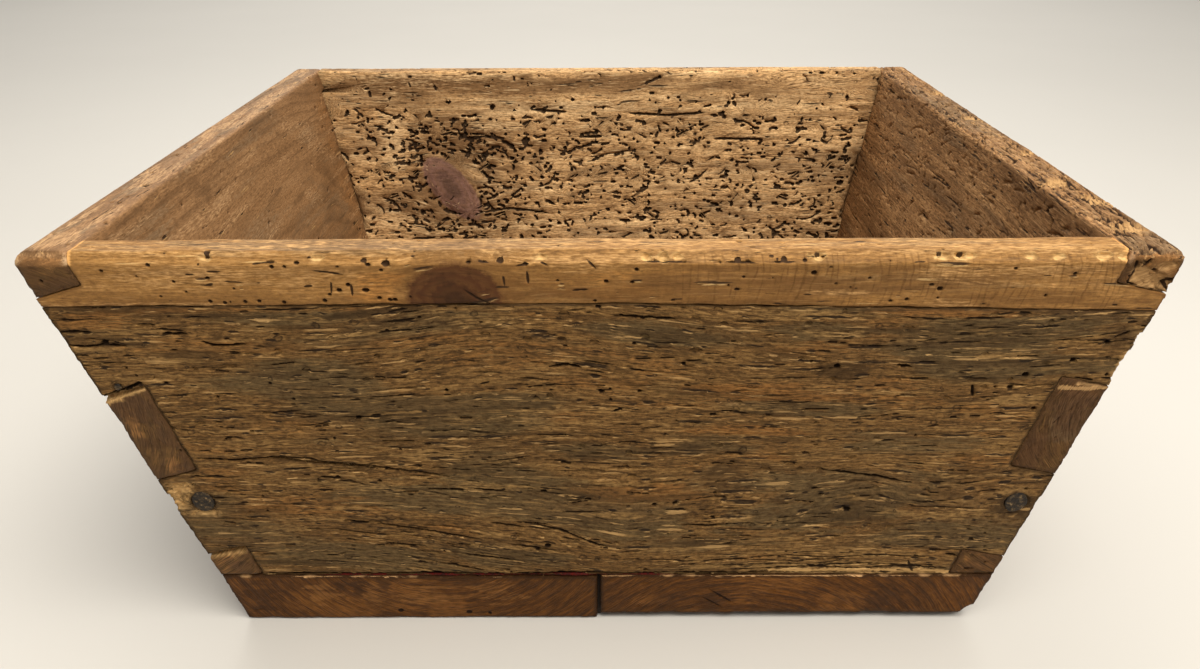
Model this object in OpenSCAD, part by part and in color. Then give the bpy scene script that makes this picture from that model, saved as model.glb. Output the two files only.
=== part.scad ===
// Antique dough box: an open, splayed wooden trough with finger-jointed corners,
// a strip of newer wood along the front rim and a thick floor of two boards.
// X runs left to right along the front, Y from front to back and Z up.
// The origin is on the resting plane, under the middle of the rim.

/* [Overall size] */
// Length over the rim, left to right
rim_length = 560; // [500:5:640]
// Width over the rim, front to back
rim_width = 450; // [400:5:520]
// Height from the resting plane to the rim
box_height = 262; // [240:1:310]

/* [Splay] */
// Lean of the left end board from upright, in degrees
left_lean = 12.2; // [9:0.1:14]
// Lean of the right end board from upright, in degrees
right_lean = 10.3; // [8:0.1:13]
// Lean of the front and back boards from upright, in degrees
side_lean = 6.7; // [4:0.1:9]

/* [Board thickness] */
// Front board and the rail above it, square to their face
front_t = 22; // [18:0.5:28]
// Back board, square to its face
back_t = 20; // [18:0.5:28]
// Left end board, square to its face
left_end_t = 25; // [22:0.5:28]
// Right end board, square to its face
right_end_t = 27; // [22:0.5:29]
// Floor boards
floor_t = 40; // [34:0.5:46]

/* [Front rail] */
// Height of the rail at its left end, down from the rim
rail_h_left = 29; // [28:0.5:36]
// Height of the rail at the middle of its length
rail_h_middle = 27.7; // [25:0.1:36]
// Height of the rail at its right end
rail_h_right = 33; // [28:0.5:38]
// Diameter of the dowels between the rail and the board below it
dowel_d = 8; // [6:0.5:10]
// Length of a dowel
dowel_l = 30; // [22:1:36]
// Distance between neighbouring dowels
dowel_pitch = 135; // [100:1:145]
// Number of dowels
dowel_count = 4; // [2:1:4]

/* [Finger joints] */
// Height of the top finger at the inner face of its end board
top_finger_h = 17; // [12:0.5:18]
// Upper shoulder of the left middle finger, down from the rim
left_middle_top = 78; // [68:1:84]
// Height of the left middle finger
left_middle_h = 58; // [46:1:62]
// Upper shoulder of the right middle finger, down from the rim
right_middle_top = 73; // [68:1:84]
// Height of the right middle finger
right_middle_h = 61; // [46:1:66]
// Height of the left bottom finger above the floor
left_bottom_h = 25; // [18:0.5:28]
// Height of the right bottom finger above the floor
right_bottom_h = 21.5; // [18:0.5:28]
// Slope at which the left shoulders fall outwards, in degrees
left_shoulder_slope = 17; // [10:0.5:18]
// Slope at which the right shoulders fall outwards, in degrees
right_shoulder_slope = 13.5; // [8:0.5:18]
// Hairline left between joined faces
joint_gap = 0.15; // [0.05:0.05:0.3]

/* [Floor] */
// Place of the seam between the floor boards, from the middle
seam_x = -1; // [-30:1:30]
// Width of the open seam
seam_gap = 2; // [0.5:0.5:5]
// How far the left board's top falls away at the seam
left_board_dip = 2; // [0.5:0.5:4]
// Reach of that fall from the seam
dip_reach = 150; // [80:5:180]
// How far the right board's front edge is lifted by its warp
right_board_lift = 4.5; // [1:0.5:7]
// Reach of that lift from the front edge
lift_reach = 140; // [60:5:200]
// Radius of the worn lower edge at the right end
right_edge_r = 12; // [4:0.5:16]
// Radius of the worn lower edges at the front, back and left
lower_edge_r = 2; // [1:0.5:4]

/* [Rim wear] */
// Radius of the worn outer edge of the rim
outer_edge_r = 5; // [2:0.5:7]
// Radius of the worn inner edge of the rim
inner_edge_r = 3.5; // [2:0.5:6]

/* [Corner nails] */
// Diameter of a forged corner nail's head
nail_head_d = 12.5; // [9:0.5:14]
// Thickness of the head at its middle
nail_head_t = 3.4; // [2.5:0.1:4]
// Depth that the head is driven below the board's face
nail_sink = 0.8; // [0.2:0.1:2]
// Diameter of the nail's shank
nail_shank_d = 4.6; // [3:0.2:5.4]
// Length of the nail with its head
nail_l = 62; // [45:1:75]
// Place of the left nails, down from the rim
left_nail_down = 160; // [158:1:168]
// Place of the left nails, in from the edge of the end board
left_nail_in = 18; // [8:0.5:18.5]
// Place of the right nails, down from the rim
right_nail_down = 162; // [158:1:170]
// Place of the right nails, in from the edge of the end board
right_nail_in = 12.5; // [8:0.5:18.5]

/* [Small nail] */
// Diameter of the small nail's head
small_head_d = 3.4; // [2.8:0.2:4.6]
// Thickness of its head
small_head_t = 1.2; // [0.8:0.1:2]
// Depth that its head is driven below the board's face
small_nail_sink = 0.4; // [0.1:0.1:1]
// Diameter of its shank
small_shank_d = 2.2; // [1.6:0.1:2.6]
// Length of the small nail
small_nail_l = 44; // [32:1:55]
// Place of the small nail above the left middle finger's upper shoulder
small_nail_up = 4; // [3:0.5:10]
// Place of the small nail, in from the edge of the end board
small_nail_in = 12; // [8:0.5:16]

/* [Floor nails] */
// Diameter of a floor nail's head
floor_head_d = 9; // [7:0.5:11]
// Thickness of its head
floor_head_t = 2.2; // [1.5:0.1:3]
// Depth that its head is driven below the underside
floor_nail_sink = 1.6; // [1.2:0.1:2.4]
// Diameter of its shank
floor_shank_d = 4.2; // [3:0.2:5]
// Length of a floor nail
floor_nail_l = 74; // [60:1:84]
// Distance between neighbouring nails along a long wall
long_wall_pitch = 110; // [80:1:116]
// Number of nails along a long wall
long_wall_nails = 4; // [2:1:4]
// Distance between neighbouring nails along an end wall
end_wall_pitch = 90; // [60:1:100]
// Number of nails along an end wall
end_wall_nails = 3; // [2:1:3]

/* [Weather and worms] */
// Width of a weathered slit in the front board's face
slit_w = 1.4; // [0.8:0.1:2.4]
// Depth of a slit
slit_depth = 1.3; // [0.6:0.1:2.4]
// Length of the longest slit
slit_l = 34; // [12:1:36]
// Distance between slits along the board, and between their rows
slit_pitch = 42; // [38:1:60]
// Width of the long crack beside the left middle finger
crack_w = 1.4; // [0.8:0.1:2]
// Depth of the crack
crack_depth = 3; // [1.5:0.5:6]
// Place of the crack's left end, down from the rim
crack_down = 128; // [110:1:150]
// Width of a worm gallery in the back board's inner face
gallery_w = 2.4; // [1.2:0.2:3.4]
// Depth of a gallery
gallery_depth = 2; // [0.8:0.1:2.6]
// Length of the longest gallery
gallery_l = 16; // [8:1:24]
// Distance between galleries along the board, and between their rows
gallery_pitch = 34; // [28:1:60]
// Place of the first galleries, down from the rim
sound_h = 22; // [14:1:60]

/* [Hidden] */
$fn = 32;

// Reach of the cutting solids past the box
past = 40;
// Length of a nail's taper to its point
point_l = 14;
// Flats along a worn edge's arc
edge_steps = 4;
// Sound wood left between a slit or gallery and the board's edges
sound_edge = 9;

// Horizontal thickness of each leaning board
left_run = left_end_t / cos(left_lean);
right_run = right_end_t / cos(right_lean);
front_run = front_t / cos(side_lean);
back_run = back_t / cos(side_lean);

// Outer faces of the box, as places at a height z
function left_x(z) = -rim_length / 2 + (box_height - z) * tan(left_lean);
function right_x(z) = rim_length / 2 - (box_height - z) * tan(right_lean);
function front_y(z) = -rim_width / 2 + (box_height - z) * tan(side_lean);
function back_y(z) = -front_y(z);

// Inner faces of the walls, as places at a height z
function left_inner_x(z) = left_x(z) + left_run;
function right_inner_x(z) = right_x(z) - right_run;
function front_inner_y(z) = front_y(z) + front_run;
function back_inner_y(z) = back_y(z) - back_run;

// The seam under the front rail, as its height at a place x
function seam_z(x) =
    box_height - rail_h_middle
    - abs(x) / (rim_length / 2) * ((x < 0 ? rail_h_left : rail_h_right) - rail_h_middle);

// Points of an arc of radius r that rounds the corner b between a and c
function unit(v) = v / norm(v);
function turned(v, t) = [v.x * cos(t) - v.y * sin(t), v.x * sin(t) + v.y * cos(t)];
function rounded(a, b, c, r) =
    let (u = unit(a - b), v = unit(c - b), half = acos(u * v) / 2,
         centre = b + unit(u + v) * r / sin(half),
         first = b + u * r / tan(half) - centre,
         last = b + v * r / tan(half) - centre,
         turn = (180 - 2 * half) * sign(first.x * last.y - first.y * last.x))
    [for (i = [0 : edge_steps]) centre + turned(first, turn * i / edge_steps)];

// A prism with an outline in X and Z, right through the box from front to back
module through_y() {
    translate([0, rim_width / 2 + past, 0])
        rotate([90, 0, 0])
            linear_extrude(rim_width + 2 * past) children();
}

// A prism with an outline in Y and Z, right through the box from left to right
module through_x() {
    translate([-rim_length / 2 - past, 0, 0])
        rotate([90, 0, 90])
            linear_extrude(rim_length + 2 * past) children();
}

// Outline of the whole box across one direction, with its worn edges. low and high
// are the places of its two sides at the resting plane and at the rim.
module box_outline(low, high, low_r) {
    a = [low[0], 0];
    b = [low[1], 0];
    c = [high[1], box_height];
    d = [high[0], box_height];
    polygon(concat(
        rounded(d, a, b, low_r[0]),
        rounded(a, b, c, low_r[1]),
        rounded(b, c, d, outer_edge_r),
        rounded(c, d, a, outer_edge_r)));
}

// The splayed block that every board is cut from
module block() {
    intersection() {
        through_y() box_outline([left_x(0), right_x(0)],
                                [left_x(box_height), right_x(box_height)],
                                [lower_edge_r, right_edge_r]);
        through_x() box_outline([front_y(0), back_y(0)],
                                [front_y(box_height), back_y(box_height)],
                                [lower_edge_r, lower_edge_r]);
    }
}

// The block above the floor, which the walls are cut from
module walls_block() {
    intersection() {
        block();
        translate([-rim_length, -rim_width, floor_t + joint_gap])
            cube([2 * rim_length, 2 * rim_width, box_height]);
    }
}

// Outline of everything outside a leaning inner face. low and high are the face's
// places at the resting plane and at the rim, and side is -1 or 1. The wall's inner
// edge at the rim is worn round by edge_r.
module band_outline(side, low, high, reach, edge_r) {
    top_z = box_height + past;
    far = side * reach;
    straight_top = high + (high - low) * past / box_height;
    worn_top = high + side * past / 2;
    polygon(concat(
        [[far, 0], [low, 0]],
        edge_r > 0 ? rounded([low, 0], [high, box_height], [far, box_height], edge_r) : [],
        [[edge_r > 0 ? worn_top : straight_top, top_z], [far, top_z]]));
}

// Everything outside an end board's inner face, which moves inwards by grow.
// side is -1 at the left and 1 at the right.
module end_band(side, grow, edge_r) {
    low = side < 0 ? left_inner_x(0) : right_inner_x(0);
    high = side < 0 ? left_inner_x(box_height) : right_inner_x(box_height);
    through_y() band_outline(side, low - side * grow, high - side * grow,
                             rim_length / 2 + past, edge_r);
}

// Everything outside a long wall's inner face, which moves inwards by grow.
// side is -1 at the front and 1 at the back.
module long_band(side, grow, edge_r) {
    low = side < 0 ? front_inner_y(0) : back_inner_y(0);
    high = side < 0 ? front_inner_y(box_height) : back_inner_y(box_height);
    through_x() band_outline(side, low - side * grow, high - side * grow,
                             rim_width / 2 + past, edge_r);
}

// A point of a finger's shoulder that meets its end board's inner face at height z.
// The point is out from that face by reach, and the shoulder falls outwards.
function shoulder_point(side, z, slope, reach) =
    [(side < 0 ? left_inner_x(z) : right_inner_x(z)) + side * reach, z - reach * tan(slope)];

// The slice of an end between an upper and a lower shoulder
module shoulder_slice(side, upper_z, lower_z, slope) {
    inward = -past / 2;
    outward = 2 * past;
    through_y() polygon([
        shoulder_point(side, upper_z, slope, inward),
        shoulder_point(side, upper_z, slope, outward),
        shoulder_point(side, lower_z, slope, outward),
        shoulder_point(side, lower_z, slope, inward)]);
}

// The slices that hold one end board's three fingers, grown by grow for the notches
module finger_slices(side, grow) {
    slope = side < 0 ? left_shoulder_slope : right_shoulder_slope;
    middle_z = box_height - (side < 0 ? left_middle_top : right_middle_top);
    middle_h = side < 0 ? left_middle_h : right_middle_h;
    bottom_h = side < 0 ? left_bottom_h : right_bottom_h;
    shoulder_slice(side, box_height + past, box_height - top_finger_h - grow, slope);
    shoulder_slice(side, middle_z + grow, middle_z - middle_h - grow, slope);
    shoulder_slice(side, floor_t + bottom_h + grow, 0, slope);
}

// The notches that one end board's fingers need in a long wall. Their inner faces
// are flat to above the rim, with no worn edge.
module finger_notches(side) {
    intersection() {
        end_band(side, joint_gap, 0);
        finger_slices(side, joint_gap);
    }
}

// One long wall, notched for the fingers of both end boards
module long_wall(side) {
    difference() {
        intersection() {
            walls_block();
            long_band(side, 0, inner_edge_r);
        }
        finger_notches(-1);
        finger_notches(1);
    }
}

// One end wall: a panel between the long walls, and fingers right through them
module end_wall(side) {
    intersection() {
        walls_block();
        end_band(side, 0, inner_edge_r);
        union() {
            difference() {
                end_band(side, past, inner_edge_r);
                long_band(-1, joint_gap, 0);
                long_band(1, joint_gap, 0);
            }
            finger_slices(side, 0);
        }
    }
}

// Everything above the seam under the front rail, moved down by drop
module above_seam(drop) {
    reach = rim_length / 2;
    through_y() polygon([
        [-reach - past, seam_z(-reach) - drop],
        [-reach, seam_z(-reach) - drop],
        [0, seam_z(0) - drop],
        [reach, seam_z(reach) - drop],
        [reach + past, seam_z(reach) - drop],
        [reach + past, box_height + past],
        [-reach - past, box_height + past]]);
}

// Puts a drawing on a leaning wall's face and cuts it to a depth. The drawing's X runs
// along the wall and its Y up the face, from zero at the rim.
module cut_in_front_face(depth) {
    translate([0, front_y(box_height), box_height])
        rotate([90 + side_lean, 0, 0])
            translate([0, 0, -depth]) linear_extrude(depth + past) children();
}

module cut_in_back_inner_face(depth) {
    translate([0, back_inner_y(box_height), box_height])
        rotate([90 - side_lean, 0, 0])
            translate([0, 0, -depth]) linear_extrude(depth + past) children();
}

// Outline of one slit or gallery, with pointed ends, that drifts up by bow
module track(l, w, bow) {
    polygon([[-l / 2, -bow / 2], [-l / 4, w / 2 - bow / 2], [l / 4, w / 2 + bow / 2],
             [l / 2, bow / 2], [l / 4, bow / 2 - w / 2], [-l / 4, -w / 2 - bow / 2]]);
}

// Tracks from a distance below the rim down to the floor. Each lies somewhere in its own
// cell of a grid, shorter than l and clear of its neighbours and of the end boards.
module tracks(first, l, w, pitch, bow, seed) {
    low_y = (box_height - floor_t) / cos(side_lean) - sound_edge;
    rows = max(floor((low_y - first - sound_edge) / pitch), 1);
    rise = (low_y - first - sound_edge) / rows;
    for (j = [0 : rows - 1]) {
        lowest = first + sound_edge + (j + 1) * rise;
        low = left_inner_x(box_height - lowest) + sound_edge;
        high = right_inner_x(box_height - lowest) - sound_edge;
        count = floor((high - low) / pitch);
        step = (high - low) / count;
        shake = rands(-1, 1, 5 * count, seed + j);
        for (i = [0 : count - 1]) {
            long = l * (0.65 + 0.35 * shake[5 * i]);
            translate([low + (i + 0.5) * step + (step - long) / 2.4 * shake[5 * i + 1],
                       -lowest + rise / 2 + (rise / 2 - bow - w) * shake[5 * i + 2]])
                rotate(3 * shake[5 * i + 3]) track(long, w, bow * shake[5 * i + 4]);
        }
    }
}

// Outline of the long crack, which starts at the left middle finger and runs down
module crack() {
    left = left_inner_x(box_height - crack_down) + sound_edge / 3;
    line = [[0, 0], [42, 0], [68, -4], [92, -7], [140, -16]];
    ends = len(line) - 1;
    translate([left, -crack_down]) polygon(concat(
        [line[0]], [for (i = [1 : ends - 1]) line[i] + [0, crack_w / 2]],
        [line[ends]], [for (i = [ends - 1 : -1 : 1]) line[i] - [0, crack_w / 2]]));
}

// A forged nail that points up, with a domed head and a tapered point
module nail(head_d, head_t, shank_d, length) {
    rotate_extrude() polygon([
        [0, 0], [head_d * 0.2, 0], [head_d / 2, head_t * 0.55], [head_d / 2, head_t],
        [shank_d / 2, head_t], [shank_d / 2, length - point_l], [shank_d / 6, length],
        [0, length]]);
}

// The hole that a nail leaves, open from its head outwards
module nail_hole(head_d, head_t, shank_d, length) {
    head_r = head_d / 2 + joint_gap;
    shank_r = shank_d / 2 + joint_gap;
    rotate_extrude() polygon([
        [0, -past], [head_r, -past], [head_r, head_t + joint_gap],
        [shank_r, head_t + joint_gap], [shank_r, length - point_l],
        [shank_d / 6 + joint_gap, length + joint_gap], [0, length + joint_gap]]);
}

// Turns what points up so that it points into the front face at a place on it.
// side is -1 at the left and 1 at the right, and in is measured from the box's edge.
module into_front(side, down, in, sink) {
    z = box_height - down;
    x = side < 0 ? left_x(z) + in : right_x(z) - in;
    translate([x, front_y(z), z])
        rotate([side_lean - 90, 0, 0])
            translate([0, 0, sink]) children();
}

// The same at the front and at the back, left and right
module at_corner_nails() {
    for (turn = [0, 1])
        mirror([0, turn, 0]) {
            into_front(-1, left_nail_down, left_nail_in, nail_sink) children();
            into_front(1, right_nail_down, right_nail_in, nail_sink) children();
        }
}

module at_small_nail() {
    // Drop of the sloping shoulder from the end board's inner face to the nail
    fall = (left_run - small_nail_in) * tan(left_shoulder_slope);
    into_front(-1, left_middle_top + fall - small_nail_up, small_nail_in, small_nail_sink)
        children();
}

// A row of places centred on zero
function row(count, pitch) = [for (i = [0 : count - 1]) (i - (count - 1) / 2) * pitch];

// Height of the floor's underside, which the right board's warp lifts at the front
function underside_z(x, y) =
    x < seam_x ? 0 : max(0, right_board_lift * (1 - (y - front_y(0)) / lift_reach));

// Places a floor nail on the underside and turns it to follow a wall's lean
module on_underside(x, y, lean) {
    translate([x, y, 0])
        rotate(lean) translate([0, 0, underside_z(x, y) + floor_nail_sink]) children();
}

// Floor nails follow the middle of each wall's thickness up from the underside
module at_floor_nails() {
    for (x = row(long_wall_nails, long_wall_pitch)) {
        on_underside(x, front_y(0) + front_run / 2, [side_lean, 0, 0]) children();
        on_underside(x, back_y(0) - back_run / 2, [-side_lean, 0, 0]) children();
    }
    for (y = row(end_wall_nails, end_wall_pitch)) {
        on_underside(left_x(0) + left_run / 2, y, [0, -left_lean, 0]) children();
        on_underside(right_x(0) - right_run / 2, y, [0, right_lean, 0]) children();
    }
}

// Dowels stand in the middle of the rail's thickness, half above the seam
module at_dowels() {
    for (x = row(dowel_count, dowel_pitch))
        translate([x, front_y(seam_z(x)) + front_run / 2, seam_z(x)])
            rotate([side_lean, 0, 0]) children();
}

module corner_nail_holes() {
    at_corner_nails() nail_hole(nail_head_d, nail_head_t, nail_shank_d, nail_l);
}

module small_nail_hole() {
    at_small_nail() nail_hole(small_head_d, small_head_t, small_shank_d, small_nail_l);
}

module floor_nail_holes() {
    at_floor_nails() nail_hole(floor_head_d, floor_head_t, floor_shank_d, floor_nail_l);
}

module dowel_holes() {
    at_dowels() cylinder(d = dowel_d + 2 * joint_gap, h = dowel_l + 2 * joint_gap,
                         center = true);
}

module front_board() {
    color("#7d5f3c") difference() {
        long_wall(-1);
        above_seam(joint_gap);
        cut_in_front_face(slit_depth)
            tracks(rail_h_right, slit_l, slit_w, slit_pitch, slit_w, 5);
        cut_in_front_face(crack_depth) crack();
        corner_nail_holes();
        small_nail_hole();
        floor_nail_holes();
        dowel_holes();
    }
}

module front_rail() {
    color("#a97c47") difference() {
        intersection() {
            long_wall(-1);
            above_seam(0);
        }
        dowel_holes();
    }
}

module back_board() {
    color("#94703f") difference() {
        long_wall(1);
        cut_in_back_inner_face(gallery_depth)
            tracks(sound_h, gallery_l, gallery_w, gallery_pitch, 2 * gallery_w, 31);
        corner_nail_holes();
        floor_nail_holes();
    }
}

module left_end_board() {
    color("#8f6a45") difference() {
        end_wall(-1);
        corner_nail_holes();
        small_nail_hole();
        floor_nail_holes();
    }
}

module right_end_board() {
    color("#8a6742") difference() {
        end_wall(1);
        corner_nail_holes();
        floor_nail_holes();
    }
}

// Left floor board, whose top falls away towards the seam
module floor_board_left() {
    far = -rim_length / 2 - past;
    edge = seam_x - seam_gap / 2;
    color("#8a5d38") difference() {
        intersection() {
            block();
            through_y() polygon([
                [far, -past], [edge, -past], [edge, floor_t - left_board_dip],
                [seam_x - dip_reach, floor_t], [far, floor_t]]);
        }
        floor_nail_holes();
    }
}

// Right floor board, warped so that its front edge stands clear of the table
module floor_board_right() {
    far = rim_length / 2 + past;
    edge = seam_x + seam_gap / 2;
    color("#8a5d38") difference() {
        intersection() {
            block();
            through_y() polygon([[far, -past], [edge, -past], [edge, floor_t],
                                 [far, floor_t]]);
        }
        through_x() polygon([
            [front_y(0) - past, -past],
            [front_y(0) - past, right_board_lift * (1 + past / lift_reach)],
            [front_y(0) + lift_reach, 0],
            [front_y(0) + lift_reach, -past]]);
        floor_nail_holes();
    }
}

module rail_dowels() {
    color("#b98d55") at_dowels() cylinder(d = dowel_d, h = dowel_l, center = true);
}

module corner_nails() {
    color("#2b2623")
        at_corner_nails() nail(nail_head_d, nail_head_t, nail_shank_d, nail_l);
}

module small_nail() {
    color("#2b2623")
        at_small_nail() nail(small_head_d, small_head_t, small_shank_d, small_nail_l);
}

module floor_nails() {
    color("#2b2623")
        at_floor_nails() nail(floor_head_d, floor_head_t, floor_shank_d, floor_nail_l);
}

front_board();
front_rail();
back_board();
left_end_board();
right_end_board();
floor_board_left();
floor_board_right();
rail_dowels();
corner_nails();
small_nail();
floor_nails();
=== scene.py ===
import math

import bpy
import numpy as np
from mathutils import Matrix, Vector


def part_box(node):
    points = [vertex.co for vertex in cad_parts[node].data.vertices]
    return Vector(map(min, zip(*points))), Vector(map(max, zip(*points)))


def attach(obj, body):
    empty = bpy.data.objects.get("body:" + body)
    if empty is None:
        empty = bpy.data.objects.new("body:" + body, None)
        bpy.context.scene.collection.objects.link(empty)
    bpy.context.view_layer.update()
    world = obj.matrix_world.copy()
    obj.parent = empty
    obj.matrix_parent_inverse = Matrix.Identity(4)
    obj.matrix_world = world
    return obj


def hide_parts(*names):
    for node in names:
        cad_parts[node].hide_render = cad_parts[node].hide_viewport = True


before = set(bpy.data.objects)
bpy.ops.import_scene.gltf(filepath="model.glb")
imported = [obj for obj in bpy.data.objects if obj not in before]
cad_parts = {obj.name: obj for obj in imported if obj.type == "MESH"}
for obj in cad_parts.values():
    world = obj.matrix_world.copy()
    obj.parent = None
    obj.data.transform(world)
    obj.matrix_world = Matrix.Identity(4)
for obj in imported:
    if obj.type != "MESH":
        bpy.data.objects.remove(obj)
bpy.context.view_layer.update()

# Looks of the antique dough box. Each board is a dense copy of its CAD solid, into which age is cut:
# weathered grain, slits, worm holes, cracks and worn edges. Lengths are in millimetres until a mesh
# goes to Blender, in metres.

MM = 0.001

# Sizes of the box, as the CAD part has them
RIM_LENGTH, RIM_WIDTH, HEIGHT = 560.0, 450.0, 262.0
LEAN_LEFT, LEAN_RIGHT, LEAN_SIDE = math.radians(12.2), math.radians(10.3), math.radians(6.7)
FRONT_T, BACK_T, LEFT_T, RIGHT_T, FLOOR_T = 22.0, 20.0, 25.0, 27.0, 40.0
WALL_H = HEIGHT - FLOOR_T
SEAM_Q = 28.3                     # the rail's lower edge, below the rim
SEAM_X = -1.0                     # the joint between the floor boards

# How fine the boards are
FINE, MIDDLE, COARSE = 0.62, 0.75, 0.9     # voxel sizes
MOST_FACES = 198000


def ease(x, low, high):
    """0 below low, 1 above high, and smooth between."""
    t = np.clip((x - low) / (high - low), 0.0, 1.0)
    return t * t * (3.0 - 2.0 * t)


# Smooth noise on a lattice

LATTICE = np.random.default_rng(11).uniform(-1, 1, (256, 256)).astype(np.float32)
LATTICE_3D = np.random.default_rng(12).uniform(-1, 1, (64, 64, 64)).astype(np.float32)


def noise(u, v, seed):
    """Smooth noise from -1 to 1 whose bumps are about one unit across."""
    u = u + 17.37 * seed
    v = v + 71.91 * seed
    iu, iv = np.floor(u), np.floor(v)
    fu, fv = u - iu, v - iv
    fu, fv = fu * fu * (3 - 2 * fu), fv * fv * (3 - 2 * fv)
    iu, iv = iu.astype(np.int32) & 255, iv.astype(np.int32) & 255
    ju, jv = (iu + 1) & 255, (iv + 1) & 255
    top = LATTICE[iv, iu] * (1 - fu) + LATTICE[iv, ju] * fu
    low = LATTICE[jv, iu] * (1 - fu) + LATTICE[jv, ju] * fu
    return top * (1 - fv) + low * fv


def noise_3d(p, seed):
    """The same in space, for points in rows."""
    p = p + seed * np.array((3.71, 9.13, 5.57))
    i = np.floor(p)
    f = p - i
    f = f * f * (3 - 2 * f)
    i = i.astype(np.int32)
    total = 0.0
    for a in (0, 1):
        for b in (0, 1):
            for c in (0, 1):
                part = LATTICE_3D[(i[:, 0] + a) & 63, (i[:, 1] + b) & 63, (i[:, 2] + c) & 63]
                share = (f[:, 0] if a else 1 - f[:, 0]) * (f[:, 1] if b else 1 - f[:, 1])
                total = total + part * share * (f[:, 2] if c else 1 - f[:, 2])
    return total


# Planes of the box

class Plane:
    """A flat side: u runs along it, v across it from the rim or outer edge, and inward points into the wood."""

    def __init__(self, origin, along, across, inward):
        self.origin, self.along, self.across, self.inward = (
            np.array(x, float) for x in (origin, along, across, inward)
        )

    def flat(self, points):
        from_origin = points - self.origin
        return from_origin @ self.along, from_origin @ self.across / (self.across @ self.across)

    def deep(self, points):
        return (points - self.origin) @ self.inward

    def inside(self, thickness):
        """The board's other side."""
        return Plane(self.origin + thickness * self.inward, self.along, self.across, -self.inward)


def leaning(origin, along, towards, lean):
    """A wall's outer plane, which goes towards the middle as it goes down. v is the height below the rim."""
    towards = np.array(towards, float)
    across = math.tan(lean) * towards - np.array((0, 0, 1.0))
    inward = math.cos(lean) * towards + math.sin(lean) * np.array((0, 0, 1.0))
    return Plane(origin, along, across, inward)


HALF_L, HALF_W = RIM_LENGTH / 2, RIM_WIDTH / 2
FRONT = leaning((0, -HALF_W, HEIGHT), (1, 0, 0), (0, 1, 0), LEAN_SIDE)
BACK = leaning((0, HALF_W, HEIGHT), (1, 0, 0), (0, -1, 0), LEAN_SIDE)
LEFT = leaning((-HALF_L, 0, HEIGHT), (0, 1, 0), (1, 0, 0), LEAN_LEFT)
RIGHT = leaning((HALF_L, 0, HEIGHT), (0, 1, 0), (-1, 0, 0), LEAN_RIGHT)


def front_point(x, q):
    """A point on the front face, x along it and q below the rim."""
    return (x, -HALF_W + q * math.tan(LEAN_SIDE), HEIGHT - q)


def corner_point(side, q):
    """A point on a front corner's outer edge, left for -1 and right for 1."""
    lean = LEAN_LEFT if side < 0 else LEAN_RIGHT
    return front_point(side * (HALF_L - q * math.tan(lean)), q)


RIM_FRONT = Plane((0, -HALF_W, HEIGHT), (1, 0, 0), (0, 1, 0), (0, 0, -1))
RIM_BACK = Plane((0, HALF_W, HEIGHT), (1, 0, 0), (0, -1, 0), (0, 0, -1))
RIM_LEFT = Plane((-HALF_L, 0, HEIGHT), (0, 1, 0), (1, 0, 0), (0, 0, -1))
RIM_RIGHT = Plane((HALF_L, 0, HEIGHT), (0, 1, 0), (-1, 0, 0), (0, 0, -1))
FLOOR_TOP = Plane((0, 0, FLOOR_T), (0, 1, 0), (1, 0, 0), (0, 0, -1))
UNDERSIDE = Plane((0, 0, 0), (0, 1, 0), (1, 0, 0), (0, 0, 1))


# Faces: height and tone maps of one side of a board

class Grain:
    """How a board's fibres wander: the warped height g follows a fibre, so it is level along it."""

    def __init__(self, seed, waves=1.0, knots=(), bends=()):
        self.seed, self.waves, self.knots, self.bends = seed, waves, knots, bends

    def warped(self, u, v):
        g = v + self.waves * (5.0 * noise(u / 170, v / 80, self.seed) + 1.6 * noise(u / 55, v / 22, self.seed + 1))
        for x, y, long, high in self.knots:
            near = np.exp(-(((u - x) / long) ** 2) - ((v - y) / high) ** 2)
            g = g - 0.8 * (v - y) * near
        for bend in self.bends:
            g = g + bend(u, v)
        return g


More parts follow.
